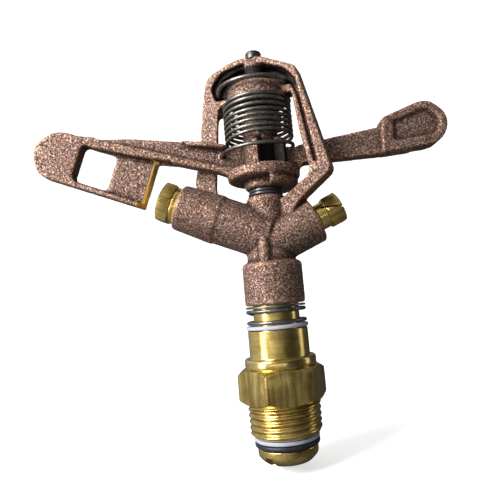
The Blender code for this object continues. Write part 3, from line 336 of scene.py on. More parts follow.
class Look:
    """A material with short calls for the nodes that feed its shader."""

    def __init__(self, name, metallic=0.0, roughness=0.5):
        self.material = bpy.data.materials.new(name)
        self.material.use_nodes = True
        self.tree = self.material.node_tree
        self.nodes = self.tree.nodes
        self.links = self.tree.links
        self.shader = self.nodes["Principled BSDF"]
        self.shader.inputs["Metallic"].default_value = metallic
        self.shader.inputs["Roughness"].default_value = roughness
        self.place = self.nodes.new("ShaderNodeTexCoord").outputs["Object"]

    def stretched(self, scale):
        node = self.nodes.new("ShaderNodeMapping")
        node.inputs["Scale"].default_value = scale
        self.links.new(self.place, node.inputs["Vector"])
        return node.outputs["Vector"]

    def noise(self, scale, detail=3.0, roughness=0.55, vector=None):
        node = self.nodes.new("ShaderNodeTexNoise")
        node.inputs["Scale"].default_value = scale
        node.inputs["Detail"].default_value = detail
        node.inputs["Roughness"].default_value = roughness
        self.links.new(vector or self.place, node.inputs["Vector"])
        return node.outputs["Fac"]

    def cells(self, scale):
        node = self.nodes.new("ShaderNodeTexVoronoi")
        node.feature = "SMOOTH_F1"
        node.inputs["Scale"].default_value = scale
        node.inputs["Smoothness"].default_value = 0.4
        self.links.new(self.place, node.inputs["Vector"])
        return node.outputs["Distance"]

    def math(self, operation, first, second):
        node = self.nodes.new("ShaderNodeMath")
        node.operation = operation
        for socket, value in zip(node.inputs, (first, second)):
            if isinstance(value, (int, float)):
                socket.default_value = value
            else:
                self.links.new(value, socket)
        return node.outputs["Value"]

    def ramp(self, value, stops):
        return colour_ramp(self.tree, value, stops)

    def mix(self, share, first, second, blend="MIX"):
        node = self.nodes.new("ShaderNodeMix")
        node.data_type = "RGBA"
        node.blend_type = blend
        if isinstance(share, (int, float)):
            node.inputs["Factor"].default_value = share
        else:
            self.links.new(share, node.inputs["Factor"])
        for socket, value in zip(colour_sockets(node.inputs), (first, second)):
            if isinstance(value, tuple):
                socket.default_value = (*value, 1.0)
            else:
                self.links.new(value, socket)
        return colour_sockets(node.outputs)[0]

    def attribute(self, name):
        node = self.nodes.new("ShaderNodeAttribute")
        node.attribute_name = name
        return node.outputs["Fac"]

    def bump(self, height, distance, strength):
        node = self.nodes.new("ShaderNodeBump")
        node.inputs["Distance"].default_value = distance
        node.inputs["Strength"].default_value = strength
        self.links.new(height, node.inputs["Height"])
        self.links.new(node.outputs["Normal"], self.shader.inputs["Normal"])

    def feed(self, **sockets):
        for name, value in sockets.items():
            self.links.new(value, self.shader.inputs[name.replace("_", " ")])


def cast_bronze():
    """Shot-blasted bronze: sparkling grain, lighter rubbed edges, painted shade in creases and
    hollows, milled faces.
    """
    look = Look("cast_bronze", metallic=0.65)
    grain = look.noise(1600.0, 4.0, 0.6)
    pits = look.cells(1300.0)
    broad = look.noise(75.0, 2.0)
    wear_and_crevice_shade = look.attribute("wear_and_crevice_shade")
    milled = look.attribute("milled")
    grainy = look.ramp(grain, [
        (0.34, (0.036, 0.018, 0.012)), (0.47, (0.125, 0.074, 0.056)),
        (0.57, (0.26, 0.168, 0.134)), (0.67, (0.57, 0.42, 0.35)),
    ])
    patches = look.ramp(broad, [(0.35, 0.0), (0.7, 0.35)])
    toned = look.mix(patches, grainy, (0.42, 0.32, 0.24), "OVERLAY")
    # Lighter on convex, worn edges; painted shade darkens the creases.
    wear_and_crevice_shade_tone = look.ramp(wear_and_crevice_shade, [
        (0.25, (0.42, 0.36, 0.34)), (0.5, (1.0, 1.0, 1.0)), (0.8, (1.45, 1.4, 1.32)),
    ])
    worn = look.mix(1.0, toned, wear_and_crevice_shade_tone, "MULTIPLY")
    # Painted shade: the hollows, niches and hole that lie in shadow are darkened nearly to black.
    painted_shade_tone = look.ramp(look.attribute("painted_shade"), [(0.0, 1.0), (1.0, 0.06)])
    worn = look.mix(1.0, worn, painted_shade_tone, "MULTIPLY")
    lines = look.noise(900.0, 2.0, 0.5, look.stretched((1.0, 1.0, 6.0)))
    cut = look.ramp(lines, [(0.3, (0.50, 0.30, 0.085)), (0.7, (0.78, 0.52, 0.19))])
    colour = look.mix(milled, worn, cut)
    rough = look.ramp(grain, [(0.3, 0.74), (0.7, 0.56)])
    rough = look.mix(milled, rough, (0.36, 0.36, 0.36))
    height = look.math("ADD", look.math("MULTIPLY", grain, 0.7), look.math("MULTIPLY", pits, 0.5))
    cast_share = look.math("SUBTRACT", 1.0, look.math("MULTIPLY", milled, 0.9))
    height = look.math("MULTIPLY", height, cast_share)
    look.feed(Base_Color=colour, Roughness=rough)
    look.bump(height, 0.30 * MM, 0.8)
    return look.material


def brass(name, marks, streaks, streak_depth, dull=0.0):
    """Turned or milled brass with fine tool marks, stains and a soft sheen."""
    look = Look(name, metallic=1.0)
    marks = look.noise(1.0, 3.0, 0.6, look.stretched(marks))
    stains = look.noise(160.0, 4.0, 0.6)
    colour = look.ramp(stains, [
        (0.28, (0.50, 0.34, 0.095)), (0.5, (0.74, 0.57, 0.20)), (0.75, (0.85, 0.70, 0.31)),
    ])
    fine = look.ramp(marks, [(0.3, (0.82, 0.80, 0.76)), (0.7, (1.0, 1.0, 1.0))])
    colour = look.mix(1.0, colour, fine, "MULTIPLY")
    broad = look.noise(1.0, 3.0, 0.6, look.stretched(streaks))
    dark = tuple(1.0 - streak_depth * part for part in (1.0, 1.15, 1.4))
    streaky = look.ramp(broad, [(0.40, dark), (0.60, (1.0, 1.0, 1.0))])
    colour = look.mix(1.0, colour, streaky, "MULTIPLY")
    rough = look.ramp(look.noise(420.0, 3.0), [(0.3, 0.16 + dull), (0.7, 0.27 + dull)])
    look.feed(Base_Color=colour, Roughness=rough)
    look.bump(marks, 0.02 * MM, 0.5)
    return look.material


def steel(name, brightness):
    """Drawn or turned steel with a fine grain."""
    look = Look(name, metallic=1.0)
    marks = look.noise(900.0, 3.0, 0.6)
    colour = look.ramp(marks, [
        (place, tuple(brightness * part for part in tone)) for place, tone in (
            (0.3, (0.20, 0.19, 0.165)), (0.55, (0.40, 0.385, 0.345)), (0.75, (0.60, 0.585, 0.53)),
        )
    ])
    rough = look.ramp(look.noise(2500.0, 2.0), [(0.3, 0.28), (0.7, 0.46)])
    look.feed(Base_Color=colour, Roughness=rough)
    look.bump(look.noise(4000.0, 2.0), 0.02 * MM, 0.5)
    return look.material


def plastic(name, low, high, roughness):
    """Plastic or rubber, slightly cloudy between two colours."""
    look = Look(name)
    colour = look.ramp(look.noise(300.0, 3.0), [(0.3, low), (0.7, high)])
    fine = look.noise(2200.0, 2.0)
    rough = look.ramp(fine, [(0.3, roughness - 0.06), (0.7, roughness + 0.06)])
    look.feed(Base_Color=colour, Roughness=rough)
    look.bump(look.noise(3500.0, 3.0), 0.02 * MM, 0.5)
    return look.material


# Mesh helpers


def shade(mesh, sharp):
    """Smooth shading, with sharp edges above an angle in degrees."""
    mesh.shade_smooth()
    mesh.set_sharp_from_angle(angle=math.radians(sharp))


def add_piece(name, bm, material, sharp=SHARP):
    bmesh.ops.recalc_face_normals(bm, faces=bm.faces)
    mesh = bpy.data.meshes.new(name)
    bm.to_mesh(mesh)
    bm.free()
    shade(mesh, sharp)
    if material is not None:
        mesh.materials.append(material)
    piece = bpy.data.objects.new(name, mesh)
    bpy.context.collection.objects.link(piece)
    return piece


def lathe(name, rings, material=None, sides=120, start=0.0, solid=False):
    """Turn rings of (radius, height) about Z. A radius may be a function of the angle."""
    bm = bmesh.new()
    rows = []
    for radius, z in rings:
        row = []
        for step in range(sides):
            angle = start + 2 * math.pi * step / sides
            r = radius(angle) if callable(radius) else radius
            row.append(bm.verts.new((r * math.cos(angle), r * math.sin(angle), z)))
        rows.append(row)
    if solid:
        bm.faces.new(rows[0])
        bm.faces.new(rows[-1])
    else:
        rows.append(rows[0])
    for row, following in zip(rows, rows[1:]):
        for step in range(sides):
            after = (step + 1) % sides
            bm.faces.new((row[step], row[after], following[after], following[step]))
    return add_piece(name, bm, material)


def slab(name, corners, low, high):
    """A block between two heights over four corners of (x, y)."""
    block = lathe(name, [(1.0, low), (1.0, high)], sides=4, solid=True)
    for vertex, (x, y) in zip(block.data.vertices, corners * 2):
        vertex.co.x = x
        vertex.co.y = y
    return block


def prism(name, outline, front, back, turn, lean=0.0, upright=False):
    """A solid from an outline of (x, z), or (x, y) if upright, in millimetres, turned about Z."""
    bm = bmesh.new()
    rows = []
    for depth, shift in ((front, 0.0), (back, lean)):
        places = [(x * MM + shift, other * MM) for x, other in outline]
        rows.append([
            bm.verts.new((x, other, depth) if upright else (x, depth, other)) for x, other in places
        ])
    bm.faces.new(rows[0])
    bm.faces.new(rows[1])
    for index in range(len(outline)):
        after = (index + 1) % len(outline)
        bm.faces.new((rows[0][index], rows[0][after], rows[1][after], rows[1][index]))
    bm.transform(Matrix.Rotation(turn, 4, "Z"))
    return add_piece(name, bm, None)


def softened(outline):
    """Round the corners of a closed outline of (radius, height, rounding)."""
    points = []
    count = len(outline)
    for index, (r, z, soft) in enumerate(outline):
        if soft <= 0.0:
            points.append((r, z))
            continue
        here = Vector((r, z))
        before = Vector(outline[index - 1][:2]) - here
        after = Vector(outline[(index + 1) % count][:2]) - here
        reach = min(soft, before.length * 0.45, after.length * 0.45)
        first = here + before.normalized() * reach
        last = here + after.normalized() * reach
        for share in (0.0, 0.33, 0.67, 1.0):
            point = first.lerp(here, share).lerp(here.lerp(last, share), share)
            points.append((point.x, point.y))
    return points


def apply_modifiers(piece):
    graph = bpy.context.evaluated_depsgraph_get()
    mesh = bpy.data.meshes.new_from_object(piece.evaluated_get(graph))
    old = piece.data
    piece.modifiers.clear()
    piece.data = mesh
    bpy.data.meshes.remove(old)


def combine(piece, operation, *tools):
    """Boolean with each tool in turn; the tools are used up."""
    for tool in tools:
        modifier = piece.modifiers.new("combine", "BOOLEAN")
        modifier.operation = operation
        modifier.solver = "EXACT"
        modifier.object = tool
    apply_modifiers(piece)
    for tool in tools:
        bpy.data.objects.remove(tool, do_unlink=True)
    return piece


def soften_edges(piece, width):
    modifier = piece.modifiers.new("edges", "BEVEL")
    modifier.width = width
    modifier.segments = 2
    modifier.limit_method = "ANGLE"
    modifier.angle_limit = math.radians(30.0)
    modifier.use_clamp_overlap = True
    apply_modifiers(piece)
    shade(piece.data, CUT_SHARP)


def hexagon(name, flats, bottom, top, corner_angle, low_drop, high_drop, material):
    """A hexagonal prism with its corners turned off."""
    corner = flats / 2 / math.cos(math.pi / 6)
    body = lathe(name, [(corner, bottom), (corner, top)], material, 6, corner_angle, solid=True)
    flat = flats / 2 - HEX_CROWN_INSET
    wide = corner + HEX_CROWN_WIDE
    low = low_drop / (corner - flat)
    high = high_drop / (corner - flat)
    crown = lathe(name + "_crown", [
        (flat - HEX_CROWN_PAST / low, bottom - HEX_CROWN_PAST),
        (wide, bottom + (wide - flat) * low), (wide, top - (wide - flat) * high),
        (flat - HEX_CROWN_PAST / high, top + HEX_CROWN_PAST),
    ], sides=96, start=0.013, solid=True)
    return combine(body, "INTERSECT", crown)


def along_barrel(axis_z, side):
    """The place and turn of a barrel's axis: side is -1 for range and 1 for spreader."""
    turn = Matrix.Rotation(side * (math.pi / 2 - BARREL_RISE), 4, "Y")
    return Matrix.Translation((0.0, 0.0, axis_z)) @ turn


def frame_body(node):
    return NODES[node]["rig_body"]


def dress(piece, body, *nodes):
    """Put a piece on its body, in place of CAD nodes if any are named."""
    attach(piece, body)
    if nodes:
        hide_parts(*nodes)


# Castings


def node_mesh(name):
    """A closed copy of a CAD node's mesh."""
    bm = bmesh.new()
    bm.from_mesh(NODES[name].data)
    bmesh.ops.remove_doubles(bm, verts=bm.verts, dist=0.001 * MM)
    return bm


def smooth_points(points, edges, weights, rounds):
    """Move each point towards the middle of its neighbours, by its own weight."""
    count = len(points)
    first = edges[:, 0]
    second = edges[:, 1]
    degree = np.bincount(first, minlength=count) + np.bincount(second, minlength=count)
    for _ in range(rounds):
        total = np.empty_like(points)
        for axis in range(3):
            total[:, axis] = np.bincount(first, points[second, axis], count) + np.bincount(
                second, points[first, axis], count
            )
        points = points + weights[:, None] * (total / degree[:, None] - points)
    return points


def cast_piece(name, node, material, rounds, keep, dark, cuts, extra):
    """Remesh a CAD casting finely, round its edges and corners and give it a cast skin."""
    piece = add_piece(name, node_mesh(node), None)
    combine(piece, "DIFFERENCE", *cuts)
    bm = bmesh.new()
    bm.from_mesh(piece.data)
    for other in extra:
        bm.from_mesh(other.data)
        bpy.data.objects.remove(other, do_unlink=True)
    bm.to_mesh(piece.data)
    bm.free()
    modifier = piece.modifiers.new("remesh", "REMESH")
    modifier.mode = "VOXEL"
    modifier.voxel_size = VOXEL
    apply_modifiers(piece)
    mesh = piece.data
    mesh.materials.clear()
    mesh.materials.append(material)
    count = len(mesh.vertices)
    points = np.empty(count * 3)
    mesh.vertices.foreach_get("co", points)
    points = points.reshape(-1, 3)
    edges = np.empty(len(mesh.edges) * 2, np.int64)
    mesh.edges.foreach_get("vertices", edges)
    edges = edges.reshape(-1, 2)
    kept = keep(points)
    # Painted shade for the places that lie in shadow, kept as a point attribute.
    painted_shade = dark(points)
    weights = EDGE_SHARE * (1.0 - kept) + MILLED_EDGE_SHARE * kept
    points = smooth_points(points, edges, weights, rounds)
    # Convexity against a smoothed copy: worn edges are lightened, and creases get painted shade.
    wide = smooth_points(points, edges, np.full(count, EDGE_SHARE), CURVATURE_ROUNDS)
    mesh.vertices.foreach_set("co", points.ravel())
    mesh.update()
    normals = np.empty(count * 3)
    mesh.vertices.foreach_get("normal", normals)
    normals = normals.reshape(-1, 3)
    bulge = ((points - wide) * normals).sum(1) / CURVATURE_BULGE
    wear_and_crevice_shade = np.clip(0.5 + 0.5 * bulge, 0.0, 1.0)
    skin = np.array([
        noise.noise(Vector(point) * SKIN_COARSE)
        + SKIN_FINE_SHARE * noise.noise(Vector(point) * SKIN_FINE)
        for point in points
    ])
    points = points + normals * (skin * SKIN_DEPTH * (1.0 - kept))[:, None]
    mesh.vertices.foreach_set("co", points.ravel())
    for label, values in (("wear_and_crevice_shade", wear_and_crevice_shade), ("milled", kept), ("painted_shade", painted_shade)):
        layer = mesh.attributes.new(label, "FLOAT", "POINT")
        layer.data.foreach_set("value", values.astype(np.float32))
    mesh.shade_smooth()
    mesh.update()
    return piece


def ramp_down(value, near, far):
    """1 below near, 0 above far, smooth in between."""
    share = np.clip((value - near) / (far - near), 0.0, 1.0)
    return 1.0 - share * share * (3.0 - 2.0 * share)


def ramp_up(value, near, far):
    """0 below near, 1 above far, smooth in between."""
    return 1.0 - ramp_down(value, near, far)


def turned_back(points, angle):
    """The x, y and z of points in the plane of a piece that is turned about Z."""
    x, y, z = points.T
    cosine = math.cos(-angle)
    sine = math.sin(-angle)
    return x * cosine - y * sine, x * sine + y * cosine, z


def barrel_places(points, axis_z, side):
    """Distance along and from a barrel's axis."""
    way = np.array(Vector((side * math.cos(BARREL_RISE), 0.0, math.sin(BARREL_RISE))))
    from_start = points - np.array((0.0, 0.0, axis_z))
    along = from_start @ way
    off = np.linalg.norm(from_start - along[:, None] * way, axis=1)
    return along, off


def body_milled(points):
    """The machined faces and bores of the body casting."""
    x, y, z = points.T
    bore = ramp_down(np.hypot(x, y), *BODY_BORE) * (z < BODY_BORE_TOP)
    foot = ramp_down(np.abs(z - z.min()), *BODY_FOOT)
    milled = np.maximum(bore, foot)
    for axis_z, side, end, hole in (
        (RANGE_AXIS_Z, -1, RANGE_FACE, RANGE_BORE),
        (SPREADER_AXIS_Z, 1, SPREADER_FACE, SPREADER_THREAD_BORE),
    ):
        along, off = barrel_places(points, axis_z, side)
        face = ramp_down(np.abs(along - end), *BARREL_FACE) * (off < BARREL_FACE_RADIUS)
        bore = ramp_down(off, hole, hole + BARREL_BORE_FADE) * (along > BARREL_BORE_START)
        milled = np.maximum(np.maximum(milled, face), bore)
    return milled


def arm_milled(points):
    """The spoon's machined end, which leans and is bevelled, and the hub's bore."""
    x, y, z = turned_back(points, ARM_TURN)
    jet = along_barrel(RANGE_AXIS_Z, -1) @ Vector((0.0, 0.0, RANGE_TIP))
    bottom = np.array((jet.x - SPOON_END_LEAN, jet.z - SPOON_END_BELOW))
    top = np.array((jet.x, jet.z + SPOON_END_ABOVE))
    way = (top - bottom) / np.linalg.norm(top - bottom)
    across = np.array((way[1], -way[0]))
    offset = np.stack([x, z], 1) - bottom
    along = offset @ way
    out = offset @ across
    bevel = out + (ARM_HALF - y) * math.tan(SPOON_END_BEVEL)
    end = ramp_down(np.abs(bevel), *SPOON_END)
    end = end * (along > SPOON_END_START) * (along < SPOON_END_STOP) * (out > SPOON_END_REACH)
    bore = ramp_down(np.hypot(points[:, 0], points[:, 1]), *ARM_BORE)
    return np.maximum(end, bore)


def bridge_hollow():
    """What is cut from the bridge, and the hollow's back wall and pin tube, which are added."""
    hollow = prism("hollow_cut", HOLLOW, HOLLOW_FRONT, HOLLOW_BACK, BRIDGE_TURN)
    wall = prism("hollow_wall", WALL, WALL_FRONT, WALL_BACK, BRIDGE_TURN)
    combine(wall, "DIFFERENCE", prism("wall_cut", HOLLOW, HOLLOW_FRONT, HOLLOW_BACK, BRIDGE_TURN))
    tube = lathe("pin_tube", [
        (PIN_TUBE_BORE, PIN_TUBE_BOTTOM), (PIN_TUBE_RADIUS, PIN_TUBE_BOTTOM),
        (PIN_TUBE_RADIUS, PIN_TUBE_TOP), (PIN_TUBE_BORE, PIN_TUBE_TOP),
    ], sides=64)
    draft = prism(
        "leg_draft", LEG_DRAFT, LEG_DRAFT_FRONT, LEG_DRAFT_BACK, BRIDGE_TURN, LEG_DRAFT_LEAN,
    )
    return (hollow, draft), (wall, tube)


def beyond(x, z, outline):
    """How far points lie outside the upper sides of an outline in millimetres, in metres."""
    far = np.full(len(x), -1.0)
    for (left, low), (right, high) in zip(outline, outline[1:]):
        length = math.hypot(right - left, high - low)
        out = (z - low * MM) * (right - left) - (x - left * MM) * (high - low)
        far = np.maximum(far, out / length)
    return far


def body_painted_shade(points):
    """Painted shade in the hollow under the bridge's rim and on the pin's tube there."""
    x, y, z = turned_back(points, BRIDGE_TURN)
    tube = ramp_down(np.hypot(x, y), *TUBE_DARK_RADIUS)
    tube = tube * ramp_up(z, *TUBE_DARK_BOTTOM) * ramp_down(z, *TUBE_DARK_TOP)
    deep = ramp_up(y, *HOLLOW_DARK_FRONT)
    inside = ramp_down(y, *HOLLOW_DARK_BACK) * ramp_down(beyond(x, z, HOLLOW), *HOLLOW_DARK_REACH)
    high = ramp_up(z, *HOLLOW_DARK_BOTTOM)
    return np.maximum(deep * inside * high, tube)


def rim_fade():
    """The web's top rim rises out of the web instead of starting with a step."""
    return prism("rim_fade", RIM_FADE, RIM_FADE_BOTTOM, RIM_FADE_TOP, ARM_TURN, upright=True)


def hook_plug():
    """The back of the blind hole in the web that takes the spring's hook."""
    rings = [(HOOK_PLUG_RADIUS, 0.0), (HOOK_PLUG_RADIUS, HOOK_PLUG_LENGTH)]
    plug = lathe("hook_plug", rings, sides=24, solid=True)
    place = Matrix.Rotation(ARM_TURN, 4, "Z") @ Matrix.Translation((-ARM_SPRING_FOOT, 0.0, HOOK_Z))
    plug.data.transform(place @ Matrix.Rotation(-math.pi / 2, 4, "X"))
    return plug


def arm_painted_shade(points):
    """Painted shade between the hub's ribs, under its disc and in the hook's hole."""
    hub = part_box("arm_casting")[0].z
    x, y, z = points.T
    angle = np.degrees(np.arctan2(y, x)) % 360.0
    away = ramp_up(angle, *NICHE_START)
    niche = away * ramp_down(angle, *NICHE_END) * ramp_down(np.hypot(x, y), *NICHE_RADIUS)
    niche = niche * ramp_up(z - hub, *NICHE_BOTTOM) * ramp_down(z - hub, *NICHE_TOP)
    below = away * ramp_down(z - hub, *DISC_BELOW) * DISC_SHADE
    x, y, z = turned_back(points, ARM_TURN)
    hole = ramp_down(np.hypot(x + ARM_SPRING_FOOT, z - HOOK_Z), *HOOK_HOLE)
    return np.maximum(np.maximum(niche, below), hole)


# Springs


def sweep(name, points, wire, material, sides=14):
    """A round wire along the points, with closed ends."""
    bm = bmesh.new()
    rings = []
    side = None
    for index, point in enumerate(points):
        before = points[max(index - 1, 0)]
        after = points[min(index + 1, len(points) - 1)]
        way = (after - before).normalized()
        if side is None:
            side = way.orthogonal().normalized()
        side = (side - way * side.dot(way)).normalized()
        other = way.cross(side)
        ring = []
        for step in range(sides):
            angle = 2 * math.pi * step / sides
            offset = side * math.cos(angle) + other * math.sin(angle)
            ring.append(bm.verts.new(point + offset * (wire / 2)))
        rings.append(ring)
    for ring, following in zip(rings, rings[1:]):
        for step in range(sides):
            after = (step + 1) % sides
            bm.faces.new((ring[step], ring[after], following[after], following[step]))
    bm.faces.new(rings[0])
    bm.faces.new(rings[-1])
    return add_piece(name, bm, material, WIRE_SHARP)


def arm_spring_points():
    """Hook in the arm, lead-in, eight close turns, a climb behind and the hook in the bridge."""
    turns = np.linspace(0.0, ARM_SPRING_TURNS, 701)
    places, heights = zip(*ARM_SPRING_HEIGHTS)
    height = np.interp(turns, places, heights)
    window = 7
    padded = np.concatenate([
        2 * height[0] - height[window:0:-1], height, 2 * height[-1] - height[-2:-window - 2:-1],
    ])
    height = np.convolve(padded, np.ones(2 * window + 1) / (2 * window + 1), "valid") * MM
    past_end = turns - ARM_SPRING_TURNS
    foot = np.clip(turns / ARM_SPRING_CHANGE, 0.0, 1.0)
    widen = np.clip((past_end + 2 * ARM_SPRING_CHANGE) / ARM_SPRING_CHANGE, 0.0, 1.0)
    close = np.clip((past_end + ARM_SPRING_CHANGE) / ARM_SPRING_CHANGE, 0.0, 1.0)
    radius = ARM_SPRING_FOOT + (ARM_SPRING_RADIUS - ARM_SPRING_FOOT) * foot
    radius = radius + (ARM_SPRING_TOP - ARM_SPRING_RADIUS) * widen
    radius = radius + (ARM_SPRING_HOOK - ARM_SPRING_TOP) * close
    angle = ARM_TURN + math.pi + 2 * math.pi * turns
    shift = ARM_SPRING_SHIFT * foot * (1.0 - widen)
    points = [
        Vector((r * math.cos(a) + s, r * math.sin(a), z))
        for r, a, s, z in zip(radius, angle, shift, height)
    ]
    first = Vector((math.sin(angle[0]), -math.cos(angle[0]), 0.0)) * HOOK_LENGTH
    last = Vector((-math.sin(angle[-1]), math.cos(angle[-1]), 0.0)) * HOOK_LENGTH
    return [points[0] + first] + points + [points[-1] + last]


def bearing_spring_points():
    """A coil with flat ends between the washer on the sleeve and the spring's seat."""
    low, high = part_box("bearing_spring")
    bottom = low.z + BEARING_SPRING_WIRE / 2
    top = high.z - BEARING_SPRING_WIRE / 2
    climb = BEARING_SPRING_TURNS - 2 * BEARING_SPRING_FLAT
    points = []
    steps = 160
    for step in range(steps + 1):
        turn = BEARING_SPRING_TURNS * step / steps
        share = min(max((turn - BEARING_SPRING_FLAT) / climb, 0.0), 1.0)
        share = share * share * (3 - 2 * share)
        angle = BEARING_SPRING_START + 2 * math.pi * turn
        points.append(Vector((
            BEARING_SPRING_RADIUS * math.cos(angle), BEARING_SPRING_RADIUS * math.sin(angle),
            bottom + (top - bottom) * share,
        )))
    return points


# Bearing


def thread_rings():
    """The male thread as rings whose radius follows the helix."""
    rings = []
    rows = 150
    span = THREAD_TOP - THREAD_BOTTOM
    for row in range(rows + 1):
        z = THREAD_BOTTOM + span * row / rows

        def radius(angle, z=z):
            phase = (z / THREAD_PITCH - angle / (2 * math.pi)) % 1.0
            crest = 0.5 - 0.5 * math.cos(2 * math.pi * phase)
            taper = THREAD_TAPER * (z - THREAD_BOTTOM) / span - THREAD_TAPER
            full = THREAD_RADIUS + taper - THREAD_DEPTH * (1.0 - crest)
            lead = THREAD_LEAD_RADIUS + (z - THREAD_BOTTOM) * THREAD_LEAD_SLOPE
            return min(full, lead)

        rings.append((radius, z))
    return [(BEARING_BORE, THREAD_BOTTOM)] + rings + [(BEARING_BORE, THREAD_TOP)]


def make_nipple(turned_brass, flat_brass):
    thread = lathe("nipple_thread", thread_rings(), turned_brass, sides=180)
    dress(thread, "nipple")
    outline = softened([
        (BEARING_BORE, NIPPLE_CORE_BOTTOM, 0.0), (NIPPLE_CORE, NIPPLE_CORE_BOTTOM, 0.0),
        (NIPPLE_CORE, NIPPLE_CORE_TOP, 0.0), (COLLAR_RADIUS - 0.4 * MM, COLLAR_FOOT, 0.0),
        (COLLAR_RADIUS, COLLAR_BOTTOM, 0.5 * MM), (COLLAR_RADIUS, COLLAR_TOP, 1.1 * MM),
        (SLEEVE_RADIUS, COLLAR_TOP, 0.35 * MM), (SLEEVE_RADIUS, SLEEVE_TOP, 0.35 * MM),
        (BEARING_BORE, SLEEVE_TOP, 0.3 * MM),
    ])
    dress(lathe("nipple_sleeve", outline, turned_brass), "nipple", "bearing_nipple")
    wrench = hexagon(
        "nipple_hex", HEX_FLATS, 0.0, HEX_HEIGHT, HEX_CORNER, 1.5 * MM, 1.8 * MM, flat_brass,
    )
    core = lathe("hex_core", [(HEX_CORE, -5 * MM), (HEX_CORE, 20 * MM)], solid=True, start=0.02)
    combine(wrench, "DIFFERENCE", core)
    soften_edges(wrench, 0.22 * MM)
    dress(wrench, "nipple")


def make_tube(turned_brass):
    """The tube that turns in the nipple, with its slotted flange at the lower end."""
    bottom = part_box("bearing_tube")[0].z
    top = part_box("bearing_tube")[1].z
    outline = softened([
        (TUBE_BORE, bottom, 0.4 * MM), (TUBE_TIP, bottom, 0.8 * MM),
        (FLANGE_RADIUS, bottom + FLANGE_BOTTOM, 0.9 * MM),
        (FLANGE_RADIUS, bottom + FLANGE_TOP, 0.3 * MM), (TUBE_RADIUS, bottom + FLANGE_TOP, 0.0),
        (TUBE_RADIUS, top, 0.4 * MM), (TUBE_BORE, top, 0.3 * MM),
    ])
    tube = lathe("turning_tube", outline, turned_brass)
    reach = 30 * MM
    side = SLOT_WIDTH / 2
    corners = ((reach, -side), (reach, side), (-reach, side), (-reach, -side))
    slot = slab("tube_slot", corners, -2.0 * MM, SLOT_DEPTH)
    slot.matrix_world = Matrix.Translation((0, 0, bottom)) @ Matrix.Rotation(SLOT_TURN, 4, "Z")
    combine(tube, "DIFFERENCE", slot)
    shade(tube.data, CUT_SHARP)
    dress(tube, "head", "bearing_tube")


def ring_piece(node, material, soft):
    """A washer with rounded rims, at its CAD node's place and size."""
    low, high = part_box(node)
    radii = [math.hypot(v.co.x, v.co.y) for v in NODES[node].data.vertices]
    inner = min(radii)
    outer = max(radii)
    outline = softened([
        (inner, low.z, soft * 0.5), (outer, low.z, soft), (outer, high.z, soft),
        (inner, high.z, soft * 0.5),
    ])
    dress(lathe(node + "_ring", outline, material), frame_body(node), node)


# Nozzles, pin and bushes


def make_range_nozzle(turned_brass, flat_brass):
    place = along_barrel(RANGE_AXIS_Z, -1)
    shank = lathe("range_nozzle_shank", softened([
        (RANGE_BACK_BORE, RANGE_BACK, 0.3 * MM), (RANGE_SHANK, RANGE_BACK, 0.3 * MM),
        (RANGE_SHANK, RANGE_SEAT, 0.0), (RANGE_COLLAR, RANGE_SEAT, 0.3 * MM),
        (RANGE_COLLAR, RANGE_HEX_START - 0.5 * MM, 0.2 * MM),
        (RANGE_COLLAR - 0.5 * MM, RANGE_HEX_START + 0.4 * MM, 0.0),
        (RANGE_JET, RANGE_JET_START, 0.0),
    ]), turned_brass)
    shank.matrix_world = place
    dress(shank, "head", "range_nozzle")
    head = hexagon(
        "range_nozzle_hex", RANGE_HEX_FLATS, RANGE_HEX_START, RANGE_TIP, math.radians(90.0),
        0.3 * MM, 0.7 * MM, flat_brass,
    )
    funnel = lathe("range_funnel", [
        (4.2 * MM, 36.0 * MM), (RANGE_JET, RANGE_JET_START), (RANGE_JET, RANGE_TIP - 0.7 * MM),
        (3.6 * MM, RANGE_TIP + 0.5 * MM),
    ], sides=64, start=0.01, solid=True)
    combine(head, "DIFFERENCE", funnel)
    soften_edges(head, 0.16 * MM)
    head.matrix_world = place
    dress(head, "head")


def make_spreader_nozzle(turned_brass, flat_brass):
    place = along_barrel(SPREADER_AXIS_Z, 1)
    neck_end = SPREADER_HEX_START + 0.6 * MM
    neck = lathe("spreader_neck", softened([
        (SPREADER_BORE, SPREADER_BACK, 0.2 * MM), (SPREADER_SHANK, SPREADER_BACK, 0.3 * MM),
        (SPREADER_SHANK, SPREADER_SEAT, 0.0), (SPREADER_COLLAR - 0.4 * MM, SPREADER_SEAT, 0.0),
        (SPREADER_COLLAR, SPREADER_SEAT + 0.6 * MM, 0.2 * MM), (SPREADER_COLLAR, neck_end, 0.0),
        (SPREADER_BORE, neck_end, 0.0),
    ]), turned_brass)
    head = hexagon(
        "spreader_hex", SPREADER_HEX_FLATS, SPREADER_HEX_START, SPREADER_TIP, math.radians(90.0),
        0.9 * MM, 0.5 * MM, flat_brass,
    )
    drill = lathe("spreader_drill", [
        (SPREADER_BORE, 10.0 * MM), (SPREADER_BORE, 35.0 * MM),
    ], sides=48, start=0.01, solid=True)
    combine(head, "DIFFERENCE", drill)
    soften_edges(head, 0.14 * MM)
    tip = place @ Vector((0.0, 0.0, SPREADER_TIP))
    start = (place @ Vector((0.0, 0.0, SPREADER_SEAT + MM))).x
    front = -11.0 * MM
    outer = tip.x + 11.0 * MM
    corners = (
        (start, front), (outer, front), (outer, SPREADER_SLIT_BACK), (start, SPREADER_SLIT_BACK),
    )
    for piece in (neck, head):
        piece.matrix_world = place
        bpy.context.view_layer.update()
        slit = slab(piece.name + "_slit", corners, -SPREADER_SLIT / 2, SPREADER_SLIT / 2)
        slit.matrix_world = Matrix.Translation((0.0, 0.0, tip.z - SPREADER_SLIT_DROP))
        combine(piece, "DIFFERENCE", slit)
        shade(piece.data, CUT_SHARP)
    dress(neck, "head", "spreader_nozzle")
    dress(head, "head")


